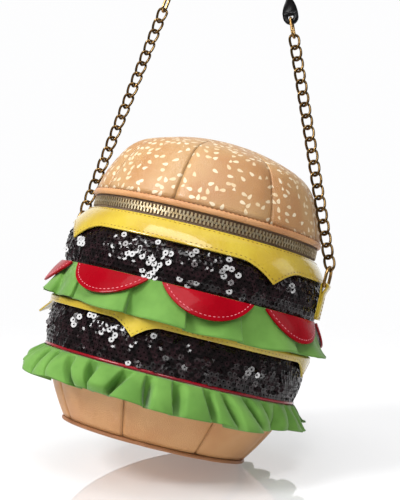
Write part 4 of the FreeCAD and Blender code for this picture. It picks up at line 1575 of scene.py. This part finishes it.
@dataclass
class ZipRun:
    """The zip's tapes and the leather gusset behind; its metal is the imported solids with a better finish."""

    inner: float = 75.8
    outer: float = 76.4
    cheese_top: float = 142.25
    tuck: float = 4.0
    lower_root: float = 143.8
    upper_root: float = 149.5
    bead: float = 2.1           # how far a tape's edge reaches in between its teeth
    lid_bottom: float = 151.05
    rim_top: float = 155.05
    span: float = 142.5         # how far the tapes run from the front, either way
    gusset_from: float = 143.1

    def build(self, nodes: dict[str, Object]) -> None:
        """Builds the tapes and the gusset, and dresses the metal.

        Args:
            nodes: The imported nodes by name.
        """
        self._tape("lower_tape", self.cheese_top - self.tuck, self.lower_root + self.bead, Body.BAG,
                   "zip_tape_lower")
        self._tape("upper_tape", self.upper_root - self.bead, self.rim_top, Body.LID, "zip_tape_upper")
        self._gusset()
        for name in ("zip_teeth_lower", "zip_teeth_upper", "zip_stops", "zip_slider", "zip_pull"):
            dress_node(nodes[name], ZIP_METAL)

    def _tape(self, name: str, bottom: float, top: float, body: Body, node: str) -> None:
        """Builds one woven tape.

        Args:
            name: The piece's name.
            bottom: The tape's lower edge.
            top: Its upper edge.
            body: The body that it rides on.
            node: The node that it stands for.
        """
        bm = bmesh.new()
        line = swelling((self.outer, bottom), (self.outer, top), 0.0, 6)
        spun(bm, line, -self.span, 2 * self.span, 240)
        lay_uv(bm, line)
        piece = make_piece(name, bm, TAPE_CLOTH, body, [node])
        thicken(piece, self.outer - self.inner)

    def _gusset(self) -> None:
        """Builds the leather strip that hinges the lid, on no body."""
        bm = bmesh.new()
        sweep = 360.0 - 2 * self.gusset_from
        bottom = self.cheese_top - self.tuck
        line = swelling((self.outer, bottom), (self.outer, self.rim_top), 0.0, 24)
        spun(bm, line, self.gusset_from, sweep, 64)
        bmesh.ops.recalc_face_normals(bm, faces=bm.faces)
        bmesh.ops.solidify(bm, geom=bm.faces[:], thickness=(self.outer - self.inner) * MM)
        piece = make_piece("hinge_strip", bm, RIM_LEATHER, None, ["hinge_gusset"], tidy=False)
        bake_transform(piece)


def dress_node(node: Object, finish: Finish) -> None:
    """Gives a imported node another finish.

    Args:
        node: The node's object.
        finish: The finish for each of its slots.
    """
    if not node.material_slots:
        node.data.materials.append(finish.material())
    for slot in node.material_slots:
        slot.material = finish.material()


@dataclass
class RimBand:
    """The rolled leather band round the lid's edge, with a row of stitches."""

    inner: float = 76.7
    outer: float = 78.2
    bottom: float = 151.05
    top: float = 155.05
    swell: float = 1.0
    ripple: float = 0.15

    def build(self) -> None:
        """Builds the band and its stitches."""
        face = swelling((self.outer, self.bottom), (self.outer, self.top), self.swell, 8)
        bm = bmesh.new()
        spun_solid(bm, face + [(self.inner, self.top), (self.inner, self.bottom)], 200)

        def uneven(radius: float, azimuth: float, height: float) -> Place:
            """Lets the rolled face wander a little."""
            wander = self.ripple * drift(azimuth, 6.0, 2.0) if radius > self.inner + 0.5 else 0.0
            return radius + wander, azimuth, height

        reshape(bm, uneven)
        make_piece("rim_roll", bm, RIM_LEATHER, Body.LID, ["lid_rim_band"])
        run = [(at(self.outer + 0.3, azimuth, self.top - 0.2), outward(azimuth) + UP * 0.6)
               for azimuth in range(361)]
        sew("rim_stitches", [run], TAN_THREAD, Body.LID, stitch=2.0, pitch=3.0, thick=0.45)


@dataclass
class SideFitting:
    """A folded patent tab at one side, with the ring that stands in it."""

    side: Side
    reach: float = 91.2
    bar: float = 127.05
    width: float = 8.0
    layer: float = 1.15
    length: float = 22.6
    flat: float = 6.0           # from the bar down to where the layers lie flat
    back: float = 89.4
    ring_wire: float = 2.2
    ring_height: float = 13.0
    ring_bow: float = 6.0
    ring_corner: float = 2.0

    def _at(self, out: float, across: float, height: float) -> Vector:
        """A point from its reach out, its place front to back and its height."""
        sign = self.side.value
        return Vector((AXIS_X + sign * out * MM, sign * across * MM, BASE_Z + height * MM))

    def build(self) -> None:
        """Builds the tab and the ring."""
        loop = self.ring_wire / 2 + 0.3 + self.layer / 2
        inner, outer = self.back + self.layer / 2 + 0.02, self.back + 1.5 * self.layer + 0.1
        low = self.bar - self.length
        line = swelling((inner, low), (inner, self.bar - self.flat), 0.0, 6)
        line += [(inner - 0.3, self.bar - 4.5), (inner - 0.7, self.bar - 2.4)]
        line += arc((self.reach, self.bar), loop, 190.0, -20.0, 12)
        line += [(outer + 1.0, self.bar - 2.6), (outer + 0.3, self.bar - 4.4)]
        line += swelling((outer, self.bar - self.flat), (outer, low), 0.0, 6)
        points = [self._at(out, 0.0, height) for out, height in line]
        frames = []
        for number, point in enumerate(points):
            ahead = points[min(number + 1, len(points) - 1)] - points[max(number - 1, 0)]
            along = ahead.normalized()
            frames.append(Matrix.Translation(point) @ Matrix((
                FRONT_TO_BACK, along.cross(FRONT_TO_BACK), along)).transposed().to_4x4())
        bm = bmesh.new()
        swept_strip(bm, frames, self.width, self.layer)
        make_piece(f"tab_{self.side.word}", bm, YELLOW_PATENT, Body.BAG,
                   [f"side_tab_{self.side.word}"])
        self._stitches(outer + self.layer / 2, low)
        mesh = tube_mesh(f"ring_{self.side.word}", [self._ring_path()], self.ring_wire, 4)
        dress_mesh(f"ring_{self.side.word}", mesh, GOLD_METAL, Body.BAG,
                   [f"side_ring_{self.side.word}"])

    def _stitches(self, out: float, low: float) -> None:
        """Sews the tab down round its edge.

        Args:
            out: The reach of the tab's face.
            low: The tab's lower end.
        """
        half = self.width / 2 - 1.1
        top = self.bar - 6.5
        corners = [(-half, top), (-half, low + 1.2), (half, low + 1.2), (half, top)]
        lift = Vector((self.side.value, 0.0, 0.0))
        run = []
        for first, second in zip(corners, corners[1:]):
            run += [(self._at(out, *between(first, second, part / 8)), lift) for part in range(8)]
        run.append((self._at(out, *corners[-1]), lift))
        sew(f"tab_stitches_{self.side.word}", [run], YELLOW_THREAD, Body.BAG, stitch=1.7,
            pitch=2.5, thick=0.45)

    def _ring_path(self) -> list[Vector]:
        """The ring's middle line: a straight bar, rounded corners and a half-round bow.

        Returns:
            The points round the ring.
        """
        corner, bow = self.ring_corner, self.ring_bow
        points = [(share * (bow - corner), 0.0) for share in (-1.0, -0.5, 0.0, 0.5)]
        points += arc((bow - corner, corner), corner, -90.0, 0.0, 6)
        points += arc((0.0, self.ring_height - bow), bow, 0.0, 180.0, 24)
        points += arc((corner - bow, corner), corner, 180.0, 255.0, 5)
        return [self._at(self.reach, across, self.bar + up) for across, up in points]


@dataclass
class Hanger:
    """One side of the strap: a curb chain, the ring above it and where the leather starts."""

    side: Side
    links: int
    lean: float
    long: float = 5.05
    wide: float = 3.2
    twist: float = 1.15
    wire: float = 1.8
    play: float = 0.2
    side_ring_wire: float = 2.2
    ring_wire: float = 1.8
    ring_length: float = 14.0
    ring_bow: float = 2.9
    hang_from: Point = (91.2, 140.05)
    bulge: float = 0.82         # how full a link's ends are
    sides: int = 36

    @property
    def heading(self) -> Vector:
        """Unit vector up the chain."""
        lean = math.radians(self.lean)
        return Vector((-self.side.value * math.sin(lean), 0.0, math.cos(lean)))

    @property
    def inward(self) -> Vector:
        """Unit vector square to the chain, towards the strap's middle."""
        heading = self.heading
        return Vector((-self.side.value * heading.z, 0.0, self.side.value * heading.x))

    @property
    def start(self) -> Vector:
        """Middle of the side ring's bow."""
        reach, height = self.hang_from
        return Vector((AXIS_X + self.side.value * reach * MM, 0.0, BASE_Z + height * MM))

    @property
    def pitch(self) -> float:
        """From one link to the next."""
        return 2 * self.long - self.wire - self.play

    @property
    def ring_low(self) -> Vector:
        """Middle of the strap ring's wire where the last link hooks over it."""
        hooks = (self.side_ring_wire + self.ring_wire) / 2 + self.wire + 2 * self.play
        reach = 2 * self.long + (self.links - 1) * self.pitch - hooks
        return self.start + self.heading * reach * MM

    def build(self) -> None:
        """Builds the chain and the strap's ring."""
        paths = []
        first = self.long - (self.side_ring_wire + self.wire) / 2 - self.play
        across = FRONT_TO_BACK.cross(self.heading)
        for number in range(self.links):
            middle = self.start + self.heading * (first + number * self.pitch) * MM
            path = []
            for step in range(self.sides):
                turn = math.tau * step / self.sides
                swell = abs(math.cos(turn)) ** self.bulge * math.copysign(1.0, math.cos(turn))
                path.append(middle + (self.heading * self.long * swell
                                      + across * self.wide * math.sin(turn)
                                      + FRONT_TO_BACK * self.twist * math.sin(2 * turn)) * MM)
            paths.append(path)
        name = f"links_{self.side.word}"
        dress_mesh(name, tube_mesh(name, paths, self.wire, 2), CHAIN_METAL, Body.STRAP,
                   [f"chain_{self.side.word}"])
        name = f"strap_loop_{self.side.word}"
        dress_mesh(name, tube_mesh(name, [self._ring_path()], self.ring_wire, 3), GOLD_METAL, Body.STRAP,
                   [f"strap_ring_{self.side.word}"])

    def _ring_path(self) -> list[Vector]:
        """The strap ring's middle line: two half-round ends and straight sides.

        Returns:
            The points round the ring.
        """
        bow = self.ring_bow
        points = arc((0.0, bow), bow, 180.0, 360.0, 24)
        points += arc((0.0, self.ring_length - bow), bow, 0.0, 180.0, 24)
        return [self.ring_low + (FRONT_TO_BACK * across + self.heading * up) * MM for across, up in points]


@dataclass
class ShoulderStrap:
    """The black leather strap: two tongues on rings, quarter twists and the bend over a hook."""

    left: Hanger
    right: Hanger
    width: float = 10.5
    thick: float = 2.3
    packed: float = 2.4         # the leather's thickness where it lies in the ring
    eyelet: float = 2.0
    tip: float = 5.2
    tongue: float = 3.5
    twist: float = 13.0
    bend: float = 21.2
    middle: Point = (0.0, -20.0)
    bend_steps: int = 30
    twist_steps: int = 24

    def _eye(self, hanger: Hanger) -> Vector:
        """Middle of the eyelet on one side.

        Args:
            hanger: The side.

        Returns:
            The point, in metres.
        """
        drop = hanger.ring_bow - math.sqrt(hanger.ring_bow ** 2 - self.packed ** 2 / 4)
        play = self.eyelet - hanger.ring_wire / 2 - drop - hanger.play
        return hanger.ring_low + hanger.heading * (hanger.ring_length + play) * MM

    def build(self) -> None:
        """Builds the strap as one piece."""
        bm = bmesh.new()
        for hanger in (self.left, self.right):
            self._tongue(bm, hanger)
        centre = Vector((self.middle[0] * MM, 0.0, self.middle[1] * MM))
        frames = self._run(self.right, centre)
        first = self.right.inward * -1.0
        total = 180.0 - self.left.lean - self.right.lean
        for step in range(1, self.bend_steps):
            turn = Matrix.Rotation(math.radians(-total * step / self.bend_steps), 3, FRONT_TO_BACK)
            arm = turn @ first
            frames.append(self._frame(centre + arm * self.bend * MM, FRONT_TO_BACK, arm))
        frames += self._run(self.left, centre)[::-1]
        swept_strip(bm, frames, self.width, self.thick - 0.1)
        make_piece("strap_leather", bm, BLACK_LEATHER, Body.STRAP, ["shoulder_strap"])

    def _frame(self, middle: Vector, wide: Vector, deep: Vector) -> Matrix:
        """A section's frame from its width and its thickness."""
        return Matrix.Translation(middle) @ Matrix((wide, deep, wide.cross(deep))).transposed().to_4x4()

    def _run(self, hanger: Hanger, centre: Vector) -> list[Matrix]:
        """The frames of one straight end, from its tongue to the bend, through a quarter twist.

        Args:
            hanger: The side that it hangs on.
            centre: The middle of the bend.

        Returns:
            The sections' frames, upwards.
        """
        eye = self._eye(hanger)
        finish = centre - hanger.inward * self.bend * MM
        length = (finish - eye).dot(hanger.heading)
        side = hanger.side.value
        flat = hanger.inward
        places = [(self.tongue - 2.5, 0.0)]
        for step in range(self.twist_steps + 1):
            share = step / self.twist_steps
            places.append((self.tongue + self.twist * share, share))
        places.append((length / MM, 1.0))
        frames = []
        for reach, share in places:
            turn = math.radians(90.0 * share)
            middle = eye + hanger.heading * reach * MM
            wide = flat * math.cos(turn) * side + FRONT_TO_BACK * math.sin(turn)
            deep = FRONT_TO_BACK * math.cos(turn) * side - flat * math.sin(turn)
            frames.append(self._frame(middle, wide, deep))
        return frames

    def _tongue(self, bm: BMesh, hanger: Hanger) -> None:
        """Builds one rounded tongue with its eyelet.

        Args:
            bm: The strap's mesh.
            hanger: The side that it hangs on.
        """
        eye = self._eye(hanger)
        half = self.width / 2
        stand = self._frame(eye - FRONT_TO_BACK * self.thick / 2 * MM, hanger.inward, hanger.heading)
        loops = []
        for large in (False, True):
            made = bmesh.ops.create_circle(bm, segments=40, radius=self.eyelet * MM,
                                           matrix=Matrix.Identity(4))
            for vert in made["verts"]:
                turn = math.atan2(vert.co.y, vert.co.x)
                reach = self.eyelet
                if large and turn < 0.0:
                    reach = self.tip
                elif large:
                    aside = half / max(abs(math.cos(turn)), 1e-6)
                    reach = min(aside, (self.tongue + 0.4) / max(math.sin(turn), 1e-6))
                vert.co = stand @ Vector((reach * math.cos(turn) * MM, reach * math.sin(turn) * MM, 0.0))
            loops += list({edge for vert in made["verts"] for edge in vert.link_edges})
        faces = bmesh.ops.bridge_loops(bm, edges=loops)["faces"]
        raised = bmesh.ops.extrude_face_region(bm, geom=faces)["geom"]
        tops = [item for item in raised if isinstance(item, BMVert)]
        bmesh.ops.translate(bm, verts=tops, vec=FRONT_TO_BACK * self.thick * MM)


@dataclass(frozen=True)
class Lamp:
    """A soft lamp, placed from the bag's middle along the camera's right, up and forward, in metres."""

    name: str
    across: float
    high: float
    along: float
    wide: float
    deep: float
    power: float

    def direction(self, right: Vector, upward: Vector, forward: Vector) -> Vector:
        """The way from the bag's middle to the lamp."""
        return right * self.across + upward * self.high + forward * self.along


KEY_LAMP = Lamp("key", -1.05, 0.95, -0.75, 0.5, 0.5, 21.0)
FRONT_LAMP = Lamp("front", 0.15, 1.15, -1.2, 0.35, 0.35, 7.0)
STRIP_LAMP = Lamp("strip", -0.1, 1.45, -0.6, 1.3, 0.5, 9.0)
TOP_LAMP = Lamp("top", 0.1, 1.5, 0.25, 1.7, 1.7, 4.0)
RIM_LAMP = Lamp("rim", 1.3, 0.6, 0.2, 0.5, 0.5, 0.8)


@dataclass
class Studio:
    """The camera, the light and a pale floor that the bag's tilted base just touches."""

    distance: float = 0.9
    azimuth: float = 20.0
    height: float = 82.9
    pitch: float = 3.13
    roll: float = 14.0
    lens: float = 95.5
    aim: float = 110.0          # the height that the lamps shine at
    edge: Point = (63.1, 0.3)   # radius and height of the base's lowest edge
    floor_pitch: float = 5.0
    floor_gap: float = 0.0004   # from that edge to the floor, in metres
    soft_light: float = 0.38    # how strongly the white surround lights the bag
    room_light: float = 0.14    # how bright the room behind the camera looks in a mirror

    def axes(self) -> tuple[Vector, Vector, Vector]:
        """The camera's right, up and forward directions.

        Returns:
            Three unit vectors.
        """
        level = outward(self.azimuth) * -1.0
        pitch, roll = math.radians(self.pitch), math.radians(self.roll)
        forward = level * math.cos(pitch) + UP * math.sin(pitch)
        right = forward.cross(UP).normalized()
        upward = right.cross(forward)
        return (right * math.cos(roll) + upward * math.sin(roll),
                upward * math.cos(roll) - right * math.sin(roll), forward)

    def glint(self, lamp: Lamp) -> Vector:
        """Which way a disc faces that shows the camera a lamp."""
        axes = self.axes()
        return (lamp.direction(*axes).normalized() - axes[2]).normalized()

    def build(self) -> None:
        """Builds the camera, lamps, world and floor."""
        right, upward, forward = self.axes()
        place = at(self.distance / MM, self.azimuth, self.height)
        data = bpy.data.cameras.new("camera")
        data.lens = self.lens
        data.sensor_width = 36.0
        data.clip_start, data.clip_end = 0.01, 30.0
        camera = bpy.data.objects.new("camera", data)
        turn = Matrix((right, upward, forward * -1.0)).transposed().to_4x4()
        camera.matrix_world = Matrix.Translation(place) @ turn
        bpy.context.scene.collection.objects.link(camera)
        bpy.context.scene.camera = camera
        bpy.context.scene.view_settings.view_transform = "Standard"
        self._lamps(right, upward, forward)
        self._world(forward)
        self._floor(upward, forward)

    def _lamps(self, right: Vector, upward: Vector, forward: Vector) -> None:
        """Hangs the soft lamps round the bag, as the camera sees them.

        Args:
            right: The camera's right.
            upward: The camera's up.
            forward: Which way the camera looks.
        """
        target = at(0.0, 0.0, self.aim)
        for lamp in (KEY_LAMP, FRONT_LAMP, STRIP_LAMP, TOP_LAMP, RIM_LAMP):
            data = bpy.data.lights.new(lamp.name, "AREA")
            data.shape = "RECTANGLE"
            data.size, data.size_y = lamp.wide, lamp.deep
            data.energy = lamp.power
            hung = bpy.data.objects.new(lamp.name, data)
            away = lamp.direction(right, upward, forward)
            hung.location = target + away
            hung.rotation_euler = (away * -1.0).to_track_quat("-Z", "Y").to_euler()
            bpy.context.scene.collection.objects.link(hung)

    def _world(self, forward: Vector) -> None:
        """A white backdrop that lights the bag softly and shows in metal and patent leather.

        Args:
            forward: Which way the camera looks, and so where the backdrop stands.
        """
        world = bpy.data.worlds.new("studio")
        world.use_nodes = True
        world.node_tree.nodes.clear()
        graph = Graph(world.node_tree)
        path = graph.add("ShaderNodeLightPath")
        direction = graph.add("ShaderNodeTexCoord").outputs["Generated"]
        facing = graph.add("ShaderNodeVectorMath", {0: direction, 1: tuple(forward)}, operation="DOT_PRODUCT")
        backdrop = graph.ramp(facing.outputs["Value"], 0.6, 0.95, self.room_light, 1.0)
        mirrored = graph.math("MULTIPLY", path.outputs["Is Glossy Ray"], backdrop)
        seen = graph.math("MAXIMUM", path.outputs["Is Camera Ray"], path.outputs["Is Transmission Ray"])
        dimmed = graph.math("MULTIPLY_ADD", path.outputs["Is Glossy Ray"], -self.soft_light, self.soft_light)
        strength = graph.math("MAXIMUM", graph.math("MAXIMUM", seen, mirrored), dimmed)
        back = graph.add("ShaderNodeBackground", {"Color": (0.985, 0.985, 0.99, 1.0), "Strength": strength})
        graph.add("ShaderNodeOutputWorld", {"Surface": back.outputs[0]})
        bpy.context.scene.world = world

    def _floor(self, upward: Vector, forward: Vector) -> None:
        """Lays the floor level in the picture, under the lowest edge of the base.

        Args:
            upward: The camera's up.
            forward: Which way the camera looks.
        """
        pitch = math.radians(self.floor_pitch)
        normal = (upward * math.cos(pitch) - forward * math.sin(pitch)).normalized()
        radius, height = self.edge
        low = min((at(radius, azimuth, height) for azimuth in range(0, 360, 3)), key=normal.dot)
        bm = bmesh.new()
        turn = normal.to_track_quat("Z", "Y").to_matrix().to_4x4()
        bmesh.ops.create_grid(bm, x_segments=1, y_segments=1, size=6.0,
                              matrix=Matrix.Translation(low - normal * self.floor_gap) @ turn)
        mesh = bpy.data.meshes.new("floor")
        bm.to_mesh(mesh)
        bm.free()
        mesh.materials.append(FLOOR.material())
        floor = bpy.data.objects.new("floor", mesh)
        bpy.context.scene.collection.objects.link(floor)


# azimuth and height of the spots on each patty where the sequins were brushed over most
LOWER_RUBBED = [
    (-28.0, 67.0), (-5.0, 65.0), (14.0, 67.0), (20.0, 60.5), (15.0, 53.0), (34.0, 62.0), (36.0, 57.0),
    (38.0, 52.0), (50.0, 65.0), (55.0, 62.0), (61.0, 64.0), (130.0, 60.0), (175.0, 66.0), (230.0, 58.0),
]
UPPER_RUBBED = [
    (-8.0, 119.0), (9.0, 120.5), (20.0, 121.0), (32.0, 122.0), (36.0, 118.5), (2.0, 106.5),
    (17.0, 107.0), (56.0, 110.0), (65.0, 117.0), (120.0, 112.0), (190.0, 118.0), (250.0, 110.0),
]


def build_bag(nodes: dict[str, Object]) -> None:
    """Builds every piece of the handbag.

    Args:
        nodes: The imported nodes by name.
    """
    left = Hanger(Side.LEFT, links=19, lean=8.0)
    right = Hanger(Side.RIGHT, links=20, lean=23.0)
    upper_cheese = [(76.7, 142.2), (79.6, 139.2), (82.2, 135.9), (84.4, 132.6), (86.3, 129.4), (87.8, 125.9),
                    (88.9, 122.0), (89.6, 118.0)]
    lower_cheese = [(83.0, 80.2), (86.6, 79.9), (88.0, 79.3), (88.5, 78.3), (88.5, 65.4)]
    assemblies = [
        Base(),
        Piping("base_cord", "base_piping", "brown_piping", PIPING_LEATHER, 61.9, 1.45, 2.6),
        BunPanels("bottom_bun_gore", "bottom_bun_panel", Body.BAG, "bun_leather", BUN_LEATHER,
                  swelling((62.6, 3.05), (84.2, 45.85), 2.2, 16), dip=0.6, reach=3.0),
        Piping("red_cord", "red_piping", "red_patent", RED_CORD, 85.2, 47.15, 2.0),
        Patty("lower_patty", 48.45, 30.8, 3.3, 5.6, seed=3, rubbed=LOWER_RUBBED),
        Patty("upper_patty", 103.05, 24.4, 3.7, 6.5, seed=8, rubbed=UPPER_RUBBED),
        Ruffle("lower_ruffle", "lower_lettuce", 86.4, 45.85, 99.0, 26.4, 81.5, 2.1,
               [(-35.0, -35.0), (-25.0, -18.5), (-12.0, -12.0), (6.0, -4.0), (13.0, 13.0), (25.0, 24.0),
                (38.0, 39.0), (44.0, 50.0), (55.0, 62.0)],
               spacing=9.5, sag=5.0, seed=5, rise=0.3, crease=0.05, overlap=3.0,
               left=(0.0, 3.0), right=(3.0, 8.0),
               rests_on="lower_patty_padding", flat=(0.86, 0.023)),
        Ruffle("upper_ruffle", "upper_lettuce", 86.6, 102.75, 98.9, 78.8, 91.4, 1.0,
               [(-30.0, -30.0), (-1.0, -1.0), (22.0, 22.0), (44.0, 44.0), (70.0, 70.0)],
               spacing=18.0, sag=2.4, seed=9, rise=0.75, fall=0.9, crease=0.03,
               left=(2.0, 3.0), right=(4.5, 4.5),
               rests_on="upper_patty_padding", flat=(0.66, 0.024)),
        CheeseSlice("lower_slice", "lower_cheese", lower_cheese, 0.52, (2.0, 92.0, 186.0, 275.0), 17.0,
                    (1.5, -0.4, 1.5, 13.0), stitch_rows=(1.9,)),
        CheeseSlice("upper_slice", "upper_cheese", upper_cheese, 0.60, (-43.0, 53.0, 147.0, 232.0), 25.0,
                    (0.6, 0.6, 0.6, 0.6), stitch_rows=(2.0, -1.8)),
        TomatoSlices(),
        Linings(),
        RimBand(),
        BunPanels("top_bun_gore", "top_bun_panel", Body.LID, "sesame_leather", SESAME_LEATHER,
                  dome_line(0.0, 10.0, 34), late={1: 4.0}),
        SideFitting(Side.LEFT),
        SideFitting(Side.RIGHT),
        left,
        right,
        ShoulderStrap(left, right),
    ]
    for assembly in assemblies:
        assembly.build()
    ZipRun().build(nodes)
    for name in ("body_board", "lid_board"):
        dress_node(nodes[name], BOARD)


def main() -> None:
    """Loads the frame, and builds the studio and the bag."""
    logging.basicConfig(level=logging.INFO, format="%(name)s: %(message)s")
    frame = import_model()
    Studio().build()
    build_bag(frame["nodes"])


if __name__ == "__main__":
    main()
